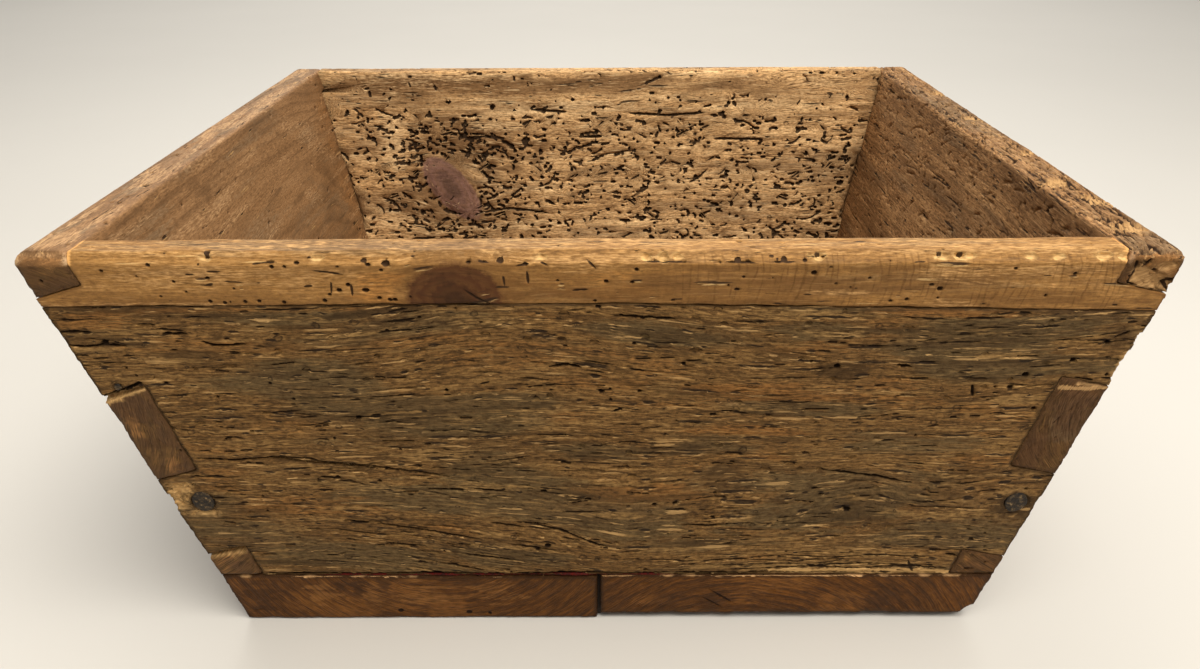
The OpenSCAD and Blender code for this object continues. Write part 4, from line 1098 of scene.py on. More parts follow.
def make_rail():
    grain = Grain(7, waves=0.5, knots=((-71, 18, 26, 16),))
    board = Board("front_rail", FINE, FRONT, grain, rings=((140, -40), 5.0), seed=22)
    front = board.add(Face(FRONT, (-281, 281), (0, 34), grain, 41, cell=0.35))
    planed(front, 0.7)
    scratches(front, 60, length=8, width=0.4, depth=0.12)
    for u in front.random.uniform(120, 250, 26):
        bow = front.random.uniform(1.5, 3.0)
        points = [(u + bow * math.sin(t * math.pi) + 1.2 * t, 6 + 22 * t) for t in np.linspace(0, front.random.uniform(0.6, 1), 6)]
        front.groove(points, 0.6, 0.2, darkness=front.random.uniform(0.2, 0.44), ragged=0.1, wall=0.4)
    for u, v in ((-190, 26), (-183, 27), (-173, 26.5), (-166, 26), (-154, 27), (-134, 26), (-102, 25.5)):
        front.hole(u, v, 2.2, 1.6, stretch=1.0)
    for u, v, wide in ((103, 11, 2.4), (165, 20, 2.3), (199, 9, 1.6), (-156, 7, 1.8), (-150, 7, 1.4), (-144, 5, 2.2), (-110, 6, 2.0),
                       (-126, 20, 2.2), (-121, 17, 2.0), (-114, 20, 1.6), (-104, 9, 1.6), (-205, 15, 1.4), (-222, 12, 1.2), (-188, 13, 1.8),
                       (18, 9, 1.8), (150, 26, 1.6), (217, 24, 1.4), (228, 12, 1.8), (-20, 15, 1.4), (-35, 6, 2.0), (130, 14, 1.4), (-47, 4, 3.0), (3.5, 15.5, 1.8), (16, 16, 1.6), (-2, 26.5, 1.6), (-62, 5, 2.0),
                       (-101.5, 5.5, 3.4), (-112, 4, 2.4), (-131, 22.5, 1.6), (-113, 20, 2.6), (-107, 24.5, 1.8), (-99.5, 25.5, 2.0),
                       (66, 4, 2.6), (71, 5, 2.2), (88, 4, 2.6), (98, 4.5, 2.0), (-238, 9, 1.6), (-256, 12, 1.6), (-215, 6, 2.0)):
        front.hole(u, v, wide, 2.2, stretch=1.2)
    for points in (((-6, 3), (-3.5, 6), (-1, 9)), ((-46, 12), (-45.5, 18)), ((-34.5, 9.5), (-34, 17)), ((-13, 20.5), (-5, 19.8)),
                   ((-138, 9), (-130, 10), (-122, 11.5)), ((-143, 18), (-138, 17.5)), ((-119.5, 16), (-120, 23.5)), ((60, 5), (76, 5.5)),
                   ((82, 5), (94, 5)), ((-166, 5.5), (-160, 4.8), (-153, 4.3)), ((-129, 15), (-130, 22)), ((-190, 17), (-186, 16)), ((-40, 7), (-33, 5.5)),
                   ((-28, 4.5), (-24, 7)), ((-58, 4), (-52, 5)), ((20, 4.5), (44, 5)), ((-50, 30), (-60, 24), (-66, 19))):
        front.groove(points, 1.1, 1.0, torn=0.3)
    front.crater(219, 8, 5, 3.6, 0.5, darkness=0.5)
    slits(front, 34, length=5, width=0.7, depth=0.7, torn=0.5)
    worm_holes(front, 26, width=1.2, depth=1.6)
    # The knot, cut through by the seam
    knot(front, *RAIL_KNOT)
    front.tint("dark", 60, 20, 270, 22, 0.6, rough=0.5)
    front.tint("dark", -120, 9, 300, 6, 0.45, rough=0.6)
    front.tint("dark", 120, 9, 260, 6, 0.5, rough=0.6)
    front.tint("dark", 205, 25, 130, 12, 0.55, rough=0.5)
    front.tint("dark", -190, 26, 150, 10, 0.45, rough=0.5)
    front.tint("grey", 60, 16, 90, 16, 0.4)
    front.tint("dark", 108, 19, 90, 16, 0.6)
    front.tint("dark", 30, 22, 140, 16, 0.6)
    front.tint("dark", -20, 15, 60, 18, 0.4)
    front.tint("dark", 190, 25, 120, 8, 0.35)
    front.tint("orange", 30, 16, 150, 18, 0.35)
    front.tint("orange", -105, 17, 34, 24, 0.5)
    front.tint("pale", 210, 14, 120, 12, 0.2)
    front.tint("pale", -180, 12, 150, 14, 0.35)
    top = board.add(Face(RIM_FRONT, (-281, 281), (0, 23), grain, 42, cell=0.35))
    planed(top, 0.9)
    top["pale"][:] = np.maximum(top["pale"], 0.3)
    top["relief"][:] += 0.5 * ease(np.abs(noise(top.u / 70, top.v / 40, 6)), 0.1, 0.9)
    for u, v in top.spots(60):
        top.tint("grey", u, 8 + 13 * top.random.uniform(), top.random.uniform(14, 60), top.random.uniform(1.5, 3.5), 0.7)
    top.tint("dark", -270, 14, 50, 16, 0.5)
    top.tint("grey", -140, 12, 190, 18, 0.85, rough=0.5)
    top.tint("dark", -120, 14, 110, 6, 0.4, rough=0.6)
    slits(top, 60, length=6, width=0.5, depth=0.5, torn=0.4)
    worm_holes(top, 30, width=1.2, depth=1.6)
    for u, v in ((-187, 2.5), (-187, 4.5), (107, 1.5), (104, 2.5), (172, 3), (162, 3)):
        top.hole(u, v, 2.4, 1.6, stretch=1.2)
    inside = board.add(Face(FRONT.inside(FRONT_T), (-262, 262), (0, 34), grain, 43, cell=0.5))
    planed(inside, 1.0)
    slits(inside, 40, length=8, width=0.7, depth=0.8)
    worm_holes(inside, 20)
    for plane in (LEFT, RIGHT):
        sawn_ends(board.add(Face(plane, (-230, -196), (0, 34), Grain(5, waves=0.3), 44, cell=0.5)))
    board.cut_faces()
    board.wear_edges(0.6, size=14, reach=5, where=board.but_not_at_seam)
    chamfer(board)
    # Chips along the bright upper edge, and the broken right end
    for x, deep in ((22, 1.4), (31, 2.0), (38, 1.2), (163, 1.6), (172, 1.8), (176, 1.3), (104, 1.5), (205, 1.4), (219, 1.2), (240, 1.6), (-187, 1.2), (-134, 1.0), (-28, 1.3), (250, 1.5)):
        board.bite((x, -HALF_W + 2.9, HEIGHT - 3.2), (1.6 + deep, deep + 0.3, deep + 0.3), (0, 0.8, -0.55), rough=0.5)
    return board.finish("front_rail_aged", "rail_pine", wood("rail pine", shine=0.58, rings=0.2, contrast=0.5, hairs=0.2, rough_grain=0.16, relief=0.6, worn=paint(226, 168, 98), worn_amount=0.85, saw=(10, 262),
             knots=((RAIL_KNOT[0], HEIGHT - RAIL_KNOT[1], *RAIL_KNOT[2:], 0),), **RAIL))


def knot(face, u, v, half_u, half_v, tilt=0.0):
    """A knot's place on a face: smooth hard wood, a little sunk, without the stains round it."""
    at = face.window(np.array([(u, v)]), max(half_u, half_v) * 1.6)
    x0, y0 = face.u[at] - u, face.v[at] - v
    x = (x0 * math.cos(tilt) + y0 * math.sin(tilt)) / half_u
    y = (y0 * math.cos(tilt) - x0 * math.sin(tilt)) / half_v
    away = np.hypot(x, y) + 0.06 * noise(face.u[at] / 4, face.v[at] / 4, face.seed + 9)
    disc = 1 - ease(away, 0.8, 1.04)
    rings = 0.5 + 0.5 * np.cos(away * 26 + 1.5 * noise(face.u[at] / 5, face.v[at] / 5, face.seed + 12))
    for name in ("grey", "pale", "orange", "dark"):
        face[name][at] *= 1 - disc
    face["relief"][at] += disc * (0.06 * rings - 0.2)


# The back board: pale wood full of worm galleries, with a knot

def make_back_board():
    grain = Grain(9, waves=0.6, knots=((-139, 105, 34, 30),))
    board = Board("back_board", FINE, BACK, grain, rings=((60, -50), 4.6), seed=23)
    inner = board.add(Face(BACK.inside(BACK_T), (-258, 258), (0, 223), grain, 51, cell=0.4, cad_cuts=True))
    planed(inner, 1.2)

    def eaten(u, v):
        low = 0.10 + 0.9 * float(ease(v, 16, 62))
        left = 0.3 + 0.7 * float(ease(u, -250, -190))
        return low * left * (1.0 if math.hypot(u + 139, (v - 105) * 0.8) > 26 else 0.0)

    def near_knot(u, v):
        away = math.hypot(u + 135, (v - 100) * 1.1)
        return 1.0 if 26 < away < 62 else 0.0

    def anywhere(u, v):
        return 0.0 if math.hypot(u + 139, (v - 105) * 0.8) < 26 else 1.0

    galleries(inner, 820, eaten, length=5.0, width=2.5, depth=2.3, across=0.22, darkness=1.0)
    galleries(inner, 190, near_knot, length=4.8, width=2.4, depth=2.2, across=0.35, darkness=1.0)
    galleries(inner, 60, eaten, length=14, width=2.2, depth=2.1, across=0.0, darkness=1.0)
    galleries(inner, 60, anywhere, length=4, width=1.6, depth=1.5)
    worm_holes(inner, 560, eaten, width=2.3, depth=2.8)
    worm_holes(inner, 130, anywhere, width=1.5, depth=2.0)
    for points in (((25, 39), (60, 41), (96, 39)), ((104, 62), (150, 63)), ((-62, 36), (-30, 38)), ((-20, 60), (2, 60))):
        inner.groove(points, 2.2, 2.2, taper=0.12, torn=0.4)
    slits(inner, 150, length=12, width=0.55, depth=0.6, torn=0.5)
    back_knot(inner)
    outside = board.add(Face(BACK, (-280, 280), (0, 223), grain, 52, cell=0.5))
    weathered(outside, 0.9)
    outside["orange"][:] *= 0.6
    slits(outside, 420, length=8, width=0.8, depth=1.4)
    worm_holes(outside, 160)
    galleries(outside, 120, length=6)
    for v, start, stop in ((64, -250, -110), (158, 20, 190)):
        outside.groove([(u, v + 3 * math.sin(u / 31.0)) for u in np.linspace(start, stop, 9)], 1.1, 3.0, taper=0.1, torn=0.4)
    top = board.add(Face(RIM_BACK, (-281, 281), (0, 21), grain, 53, cell=0.4))
    planed(top, 1.2)
    slits(top, 120, length=8, width=0.8, depth=0.9)
    worm_holes(top, 150, width=1.8)
    galleries(top, 60, lambda u, v: ease(u, -80, 120), length=5, width=1.8)
    for plane in (LEFT, RIGHT):
        sawn_ends(board.add(Face(plane, (198, 230), (0, 223), Grain(5, waves=0.3), 54, cell=0.5)))
    board.cut_faces()
    board.wear_edges(0.8, size=10, reach=6)
    return board.finish("back_board_aged", "wormy_pine", wood("wormy pine", skin=OLD_SKIN, shine=0.72, rings=0.3, rough_grain=0.5, worn=paint(214, 172, 118), worn_amount=0.5,
             knots=((BACK_KNOT[0], HEIGHT - BACK_KNOT[1], *BACK_KNOT[2:], math.radians(50)),), **WORMY))


def back_knot(face):
    """The reddish knot and the darker, eaten wood round it."""
    face.tint("dark", -120, 66, 120, 60, 0.75, rough=0.5)
    face.tint("dark", -165, 120, 60, 80, 0.55, rough=0.5)
    face.tint("dark", -100, 140, 90, 40, 0.5, rough=0.5)
    face.tint("grey", -120, 88, 70, 44, 0.6)
    face.tint("dark", -60, 13, 400, 24, 0.75, rough=0.5)
    face.tint("dark", -150, 30, 180, 14, 0.5, rough=0.5)
    face.tint("dark", 150, 20, 160, 16, 0.45, rough=0.5)
    face.tint("pale", -190, 60, 26, 70, 0.6)
    face.tint("pale", -95, 50, 60, 12, 0.5)
    for name in ("cut", "mark", "fibre"):
        at = face.window(np.array([(-139.0, 105.0)]), 34)
        x0, y0 = face.u[at] + 139, face.v[at] - 105
        tilt = math.radians(50)
        x, y = x0 * math.cos(tilt) + y0 * math.sin(tilt), y0 * math.cos(tilt) - x0 * math.sin(tilt)
        face[name][at] *= ease(np.hypot(x / 36, y / 17), 0.85, 1.0)
    knot(face, *BACK_KNOT, tilt=math.radians(50))


# The end boards

def make_end(node, name, slot, plane, rim, thickness, seed, colours, smooth, mirror):
    """One end board: its outside, inside, rim and the ends of its fingers."""
    grain = Grain(seed, waves=0.8)
    board = Board(node, MIDDLE, plane, grain, rings=((90, -45), 5.2), seed=seed, ring_waves=3.5 if mirror < 0 else 1.2)
    inner = board.add(Face(plane.inside(thickness), (-212, 212), (0, 223), grain, seed + 1, cell=0.45))
    outer = board.add(Face(plane, (-226, 226), (0, 223), grain, seed + 2, cell=0.5))
    top = board.add(Face(rim, (-226, 226), (0, thickness + 2), grain, seed + 3, cell=0.4))
    ends = []
    for wall, number in ((FRONT, 4), (BACK, 5)):
        span = sorted((mirror * 282, mirror * 196))
        ends.append(board.add(Face(wall, span, (0, 223), Grain(6, waves=0.3), seed + number, cell=0.4)))
        sawn_ends(ends[-1])
    weathered(outer, 0.9)
    slits(outer, 380, length=8, width=0.8, depth=1.4)
    worm_holes(outer, 140)
    galleries(outer, 70, length=6)
    smooth(inner, top, ends)
    board.cut_faces()
    return board


def left_sides(inner, top, ends):
    """The left end is sound: blotches and slanting tool marks inside, a broad pale rim."""
    planed(inner, 0.9)
    inner.tint("orange", 184, 110, 46, 200, 0.45, rough=0.4, tilt=0)
    inner.tint("dark", 200, 130, 26, 190, 0.5, rough=0.4, tilt=0)
    for u, v in inner.spots(40):
        inner.tint(inner.random.choice(("dark", "dark", "pale", "grey")), u, v, inner.random.uniform(30, 90),
                   inner.random.uniform(12, 34), inner.random.uniform(0.15, 0.4), rough=0.5, tilt=inner.random.uniform(-0.5, 0.9))
    scratches(inner, 120, length=26, width=0.6, depth=0.14, turn=0.67, darkness=0.22)
    scratches(inner, 60, length=16, width=0.4, depth=0.15, turn=-0.95, darkness=0.25)
    slits(inner, 30, length=8, width=0.6, depth=0.7, torn=0.3)
    worm_holes(inner, 26)
    galleries(inner, 40, lambda u, v: ease(u, 150, 205), length=5)
    planed(top, 1.2)
    for u, v in top.spots(46):
        top.tint("grey", u, v, top.random.uniform(14, 60), top.random.uniform(2, 6), 0.75)
        top.tint("pale", u + 20, v, 40, 5, 0.7)
    slits(top, 60, length=9, width=0.6, depth=0.6)
    worm_holes(top, 24)
    top.tint("dark", -219.8, 11, 2.2, 24, 0.8, rough=0.06, tilt=0)
    top.tint("pale", -205, 12, 24, 26, 0.8, rough=0.3, tilt=0)
    top.tint("pale", -224, 12, 4, 28, 1.0, rough=0.05, tilt=0)
    ends[0].tint("orange", -262, 2.0, 60, 9, 1.0, rough=0.1, tilt=0)
    ends[0].tint("dark", -262, 19, 50, 16, 0.5)
    top.tint("grey", 120, 12, 220, 30, 0.5, rough=0.5)
    ends[0].tint("dark", -250, 90, 30, 22, 1.0, rough=0.5)
    ends[0].tint("dark", -226, 128, 16, 50, 0.9, rough=0.5)
    ends[0].tint("dark", -236, 108, 12, 26, 0.7, rough=0.5)
    ends[0].tint("dark", -252, 18, 30, 14, 0.6, rough=0.5)
    ends[0].tint("orange", -251, 104, 10, 26, 0.6)
    ends[0].tint("orange", -236, 134, 8, 22, 0.6)
    ends[0].tint("orange", -222, 212, 40, 30, 0.3)
    # The broken ledge on the bottom finger is painted pale: fresh broken wood and a painted highlight where it faces up
    # to the light
    ends[0].tint("fibre", -226, 200.5, 32, 8, 1.0, rough=0.35, tilt=-0.3)
    ends[0].tint("dark", -218, 214, 16, 12, 0.6)
    ends[0].groove(((-250, 4), (-250.5, 12), (-247, 19), (-246, 23)), 1.2, 1.2, darkness=0.8)
    ends[0].groove(((-240, 221.5), (-203, 221.5)), 1.7, 2.2, taper=0.02)
    for u, v, turn in ((-254, 92, 1.0), (-247, 100, 1.0), (-241, 112, 1.05), (-247, 112, 1.1), (-236, 124, 1.0), (-240, 98, 1.1), (-232, 132, 1.1)):
        ends[0].groove(((u, v), (u + 9 * math.cos(turn), v + 9 * math.sin(turn))), 0.7, 0.5, darkness=0.6, torn=0.5, ragged=0.5)


def right_sides(inner, top, ends):
    """The right end is eaten: tracks along the board inside, and a rim full of splits."""
    planed(inner, 1.3)
    inner["dark"][:] = np.maximum(inner["dark"], 0.35 * ease(inner.along(80, 14, 61), -0.1, 0.6))
    galleries(inner, 190, lambda u, v: 0.25 + 0.75 * float(1 - ease(v, 20, 90)), length=9, width=1.6, depth=1.4, across=0.05, darkness=0.6)
    galleries(inner, 110, length=5, width=1.5, depth=1.2, darkness=0.6)
    worm_holes(inner, 160, width=1.5)
    slits(inner, 160, length=14, width=0.7, depth=1.0, torn=0.5)
    inner.tint("orange", -190, 30, 24, 30, 0.9)
    weathered(top, 1.3)
    top["grey"][:] = np.maximum(0.9 * top["grey"], 0.25)
    top["orange"][:] *= 0.6
    galleries(top, 170, length=7, width=1.7, depth=2.0, across=0.12, darkness=0.6)
    slits(top, 200, length=12, width=0.9, depth=2.0, torn=0.7)
    worm_holes(top, 190, width=1.9)
    for points in (((-216, 22), (-196, 21), (-178, 23)), ((-200, 15), (-170, 17), (-140, 14)), ((-190, 8), (-160, 6.5))):
        top.groove(points, 2.0, 3.2, torn=0.5)
    end = ends[0]
    end.tint("dark", 262, 14, 46, 26, 0.6)
    end.tint("orange", 272, 8, 26, 18, 0.6)
    end.tint("orange", 226, 214, 40, 30, 0.3)
    end.tint("dark", 226, 216, 24, 10, 0.6)
    end.tint("dark", 250, 94, 22, 34, 0.9, rough=0.5)
    end.tint("dark", 236, 124, 16, 40, 0.8, rough=0.5)
    end.tint("grey", 250, 100, 24, 40, 0.5)
    end.tint("fibre", 256, 79.5, 24, 4.5, 0.75, rough=0.9)
    end.tint("orange", 250, 82, 20, 8, 0.5)
    end.groove(((204, 221.5), (240, 221.5)), 1.6, 2.0, taper=0.02)
    for u, v, turn in ((252, 90, 2.1), (246, 98, 2.1), (240, 104, 2.0), (250, 108, 2.1), (238, 116, 2.1), (244, 120, 2.0), (232, 126, 2.1)):
        end.groove(((u, v), (u + 8 * math.cos(turn), v + 8 * math.sin(turn))), 0.8, 0.6, darkness=0.7, torn=0.4, ragged=0.6)
    for points in (((255.5, 5), (256.5, 11), (254.5, 17), (261, 20)), ((261, 20), (268, 22), (276, 23.5)), ((262, 4), (259, 9)), ((278, 14), (273, 18), (276, 22))):
        end.groove(points, 1.6, 2.6, taper=0.1, ragged=0.6, darkness=1)
    end.tint("orange", 266, 10, 30, 24, 0.9)
    slits(end, 12, lambda u, v: v < 26, length=4, width=0.8, depth=1.2, torn=0.2)
    worm_holes(end, 8, lambda u, v: v < 26, width=1.6)


def chamfer(board):
    """The front rim's outer edge is worn to a slope that runs on over the ends' fingers."""
    middle = np.array((0.0, -HALF_W + 3.1, HEIGHT - 3.0))
    board.flatten(middle, (0, -0.78, 0.625), wave=0.25, where=lambda points: ease(HALF_L + 2 - np.abs(points[:, 0]), 0, 6))


def make_left_end():
    board = make_end("left_end_board", "left", "left", LEFT, RIM_LEFT, LEFT_T, 61, LEFT_END, left_sides, -1)
    board.wear_edges(0.7, size=13, reach=7)
    chamfer(board)
    # The bottom finger has lost its top and its outer corner; the middle one has a gap above it and a worn edge
    for x, q in ((-233, 199.5), (-227, 198.5), (-221, 197.5), (-216, 196.5)):
        board.bite(front_point(x, q), (5.5, 10, 6.5), (0, 1, 0), rough=0.15, grit=3)
    board.bite(corner_point(-1, 202), (4.2, 6, 6.0), (1, 0.3, 0), rough=0.4, grit=2.5)
    for x in np.arange(-263, -237, 3.0):
        board.bite(front_point(x, 86.3 - (x + 260) * 0.42), (4.5, 5.0, 1.9), (0, 0.1, -1), rough=0.1, grit=3.5)
    board.bite(front_point(-249, 23), (4, 1.6, 1.8), (0, 0.6, 0.6), rough=0.5, grit=2)
    return board.finish("left_end_aged", "left_end_pine", wood("left end pine", skin=OLD_SKIN, shine=0.6, rings=0.34, contrast=0.4, hairs=0.12, rough_grain=0.1, relief=0.5, worn=paint(218, 180, 134), worn_amount=0.6, **LEFT_END))


def make_right_end():
    board = make_end("right_end_board", "right", "right", RIGHT, RIM_RIGHT, RIGHT_T, 71, RIGHT_END, right_sides, 1)

    def rim_most(points):
        return 0.6 + 1.5 * ease(points[:, 2], HEIGHT - 18, HEIGHT - 2)

    board.wear_edges(0.9, size=7, reach=8, where=rim_most)
    # Wood is missing from the front corner of the rim
    for x, q, size in ((260, 12, (5, 2.6, 5)), (267, 16, (6, 2.8, 5)), (274, 19, (5, 3.4, 4)), (258, 18, (3.5, 2.2, 2.5)), (270, 8, (4, 1.6, 3))):
        board.bite(front_point(x, q), size, (0, 1, 0), rough=0.55, grit=2.4)
    for y, x, size in ((-190, 268, (4, 9, 3)), (-150, 274, (4, 12, 2.5)), (-120, 262, (3, 10, 2.6)), (-60, 276, (3.5, 9, 2.4)), (30, 270, (3, 9, 2.4)), (110, 275, (4, 10, 3))):
        board.bite((x, y, HEIGHT + 0.4), (size[1], size[0] * 2, size[2]), (0, 0, -1), rough=0.6, grit=3)
    board.bite(front_point(256, 77), (8, 2.0, 1.5), (0, 0.4, -1), rough=0.4, grit=2.5)
    return board.finish("right_end_aged", "right_end_pine", wood("right end pine", skin=OLD_SKIN, shine=0.75, rings=0.3, contrast=0.9, rough_grain=0.5, worn=paint(190, 152, 114), worn_amount=0.45, **RIGHT_END))


# The floor

def make_floor(node, name, side, rings, seed):
    """One floor board. side is -1 for the left one. Its end grain shows at the front and the back."""
    grain = Grain(seed, waves=0.8)
    board = Board(node, COARSE if side < 0 else COARSE, UNDERSIDE, grain, rings=rings, seed=seed)
    x_span = sorted((side * 236, SEAM_X))
    for wall, number in ((FRONT, 1), (BACK, 2)):
        end = board.add(Face(wall, x_span, (219, 263), Grain(8, waves=0.2), seed + number, cell=0.4))
        end["relief"][:] += 0.3 * noise(end.u / 24, end.v / 14, seed + 3) + 0.1 * noise(end.u / 1.4, end.v / 5, seed + 4)
        end["dark"][:] = np.maximum(end["dark"], 0.4 * ease(noise(end.u / 16, end.v / 20, seed + 5), 0.2, 0.9))
        end["orange"][:] = np.maximum(end["orange"], 0.6 * ease(noise(end.u / 30, end.v / 16, seed + 6), -0.1, 0.6))
        scratches(end, 110, length=10, width=0.4, depth=0.12, turn=1.19, darkness=0.25)
        for u, v in end.spots(14):
            end.groove(((u, v), (u + end.random.uniform(2, 9), v + end.random.uniform(-3, 3))), 0.5, 0.8, darkness=0.8)
        if wall is FRONT and side < 0:
            for u, v, wide in ((-126, 254.5, 3.4), (-83, 256, 3.6), (-70, 257, 2.6)):
                end.hole(u, v, wide, 0.8)
            for u, wide, amount in ((-150, 9, 0.5), (-133, 10, 0.5), (-161, 6, 0.35)):
                end.tint("dark", u, 234, wide, 26, amount, rough=0.7, tilt=0)
            end.tint("dark", -210, 242, 20, 34, 0.4, rough=0.7, tilt=0)
            for u, wide, amount in ((-174, 22, 0.8), (-141, 14, 0.7), (-110, 40, 0.7), (-64, 36, 0.5)):
                end.tint("pale", u, 240, wide, 22, amount, rough=0.6, tilt=0)
        if wall is FRONT and side > 0:
            for start in ((66, 234), (70, 238), (62, 241)):
                end.groove((start, (start[0] + 8, start[1] + 6), (start[0] + 15, start[1] + 11)), 0.9, 1.0, torn=0.2)
            end.tint("dark", 176, 244, 18, 34, 0.35, rough=0.7, tilt=0)
            end.tint("dark", 120, 258, 160, 8, 0.4, tilt=0)
        # A pale strip along the top edge of the end grain: torn fibres and a painted highlight along the edge that
        # faces the light
        lip = [(u, 222.5 + 0.4 * math.sin(u / 11.0) + 0.25 * math.sin(u / 2.7)) for u in np.arange(x_span[0] + 6, x_span[1] - 2, 3.0)]
        end.groove(lip, 0.7, 0.2, taper=0, darkness=0, torn=1.0)
        end.tint("fibre", sum(x_span) / 2, 222.6, 0.95 * (x_span[1] - x_span[0]), 1.7, 0.7, rough=0.7, tilt=0)
    lower = board.add(Face(UNDERSIDE, (-200, 200), x_span, grain, seed + 7, cell=0.6))
    weathered(lower, 0.7)
    lower["relief"][:] = np.clip(lower["relief"] + 0.1, 0, None)     # the board stands on its high spots
    scratches(lower, 160, length=50, width=0.8, depth=0.25, turn=1.25, darkness=0.3)
    slits(lower, 120, length=14, width=0.9, depth=1.2)
    worm_holes(lower, 50)
    upper = board.add(Face(FLOOR_TOP, (-200, 200), x_span, grain, seed + 8, cell=0.5))
    planed(upper, 1.3)
    scratches(upper, 170, length=34, width=0.6, depth=0.2, turn=0.6, darkness=0.3)
    scratches(upper, 90, length=22, width=0.5, depth=0.18, turn=-1.1, darkness=0.3)
    slits(upper, 100, length=14, width=0.8, depth=1.0)
    worm_holes(upper, 70)
    edge = board.add(Face(LEFT if side < 0 else RIGHT, (-200, 200), (219, 263), grain, seed + 9, cell=0.5))
    weathered(edge, 0.7)
    slits(edge, 80, length=10)
    board.cut_faces()
    board.wear_edges(0.7, size=9, reach=6)
    if side > 0:
        for q, size in ((262, (9, 14, 8)), (258, (5, 12, 8))):
            board.bite(corner_point(1, q), size, (-1, 0.2, 0.9), rough=0.12, grit=5, fresh=0.0)
    for x in np.random.default_rng(seed).uniform(x_span[0] + 8, x_span[1] - 8, 5 if side < 0 else 9):
        board.bite(front_point(x, WALL_H + 0.3), (3.5, 1.6, 1.2), (0, 0.7, -0.7), rough=0.5, grit=2.5)
    return board.finish(name, "floor_pine", wood("floor pine " + ("left" if side < 0 else "right"), skin=(0.8, 0.78, 0.74, 1), shine=0.62, rings=0.6, contrast=0.8, hairs=0.3, rough_grain=0.25, **FLOOR_WOOD))


# Nails, dowels and the paint in the joint

def forged(node, name, planes, voxel, head_t, iron):
    """Nails with hammered, uneven heads and pitted sides."""
    board = Board(node, voxel, planes[0], Grain(2), ((0, 0), 5), 81)
    hammered = 0.4 * noise_3d(board.start / 3.4, 82) + 0.14 * noise_3d(board.start / 1.1, 83)
    for plane in planes:
        # The heads are beaten flat, almost level with the wood
        deep = plane.deep(board.start)
        face = ease(-(board.normals @ plane.inward), 0.2, 0.6) * (np.abs(deep) < head_t)
        board.points -= (0.85 * face * np.clip(deep + 0.2, 0, 3.2))[:, None] * plane.inward
        # and they are a little taller than wide
        for side in (-1, 1):
            head = (np.abs(deep) < head_t) & (board.start[:, 0] * side > 0)
            if plane is not UNDERSIDE and head.any():
                down = plane.flat(board.start[head])[1]
                board.points[head] += (0.2 * (down - down.mean()))[:, None] * plane.across
    board.points -= board.normals * np.clip(hammered, -0.2, 0.45)[:, None]
    obj_mesh = board.mesh
    obj_mesh.vertices.foreach_set("co", (board.points * MM).astype(np.float32).ravel())
    obj = bpy.data.objects.new(name, obj_mesh)
    bpy.context.scene.collection.objects.link(obj)
    obj_mesh.polygons.foreach_set("use_smooth", np.ones(len(obj_mesh.polygons), bool))
    obj_mesh.materials.append(iron)
    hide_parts(node)
    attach(obj, "root")
    return obj


def make_dowels():
    s = Shader("dowel wood")
    grain = s.noise(s.stretch(s.place(), (300, 300, 18)), detail=3)
    s.put(s.surface.inputs["Base Color"], s.ramp(grain, ((0.3, paint(150, 108, 66)), (0.7, paint(190, 148, 98)))))
    s.surface.inputs["Roughness"].default_value = 0.7
    s.bump(grain, 0.0004, 0.4)
    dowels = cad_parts["rail_dowels"]
    dowels.data.materials.clear()
    dowels.data.materials.append(s.material)


def make_paint_seam():
    """Old red paint that was squeezed out of the joint between the front and the floor."""
    random = np.random.default_rng(91)
    tan_front, q = math.tan(LEAN_SIDE), WALL_H
    points, faces, around = [], [], 8
    stations = np.arange(-196, 52, 0.9)
    for i, x in enumerate(stations):
        fade = ease(x, -198, -150) * (1 - ease(x, 34, 52))
        size = (0.45 + 0.35 * float(noise(x / 9.0, 0.5, 92)) + 0.5 * math.exp(-((x + 21) / 17) ** 2)) * fade + 0.12
        y = -HALF_W + q * tan_front + 1.5 - 0.35 * fade + 0.2 * float(noise(x / 4.0, 2.5, 93))
        z = FLOOR_T + 0.1 + 0.25 * float(noise(x / 13.0, 5.5, 94))
        for k in range(around):
            a = 2 * math.pi * k / around
            r = size * (1 + 0.2 * random.normal())
            points.append((x, y + 0.8 * r * math.cos(a), z + r * math.sin(a)))
        if i:
            for k in range(around):
                a, b = (i - 1) * around, i * around
                faces.append((a + k, b + k, b + (k + 1) % around, a + (k + 1) % around))
    faces.append(tuple(range(around)))
    faces.append(tuple(range(len(points) - 1, len(points) - 1 - around, -1)))
    mesh = bpy.data.meshes.new("red_paint_seam")
    mesh.from_pydata([tuple(c * MM for c in p) for p in points], [], faces)
    mesh.polygons.foreach_set("use_smooth", np.ones(len(mesh.polygons), bool))
    s = Shader("red paint")
    flakes = s.noise(s.place(), detail=4, scale=900)
    s.put(s.surface.inputs["Base Color"], s.ramp(flakes, ((0.38, paint(38, 10, 7)), (0.6, paint(92, 20, 11)))))
    s.put(s.surface.inputs["Roughness"], s.step(flakes, 0.3, 0.7, 0.6, 0.85, smooth=False))
    s.surface.inputs["Specular IOR Level"].default_value = 0.15
    s.bump(flakes, 0.0004, 0.6)
    mesh.materials.append(s.material)
    obj = bpy.data.objects.new("red_paint_seam", mesh)
    bpy.context.scene.collection.objects.link(obj)
    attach(obj, "root")
    return obj


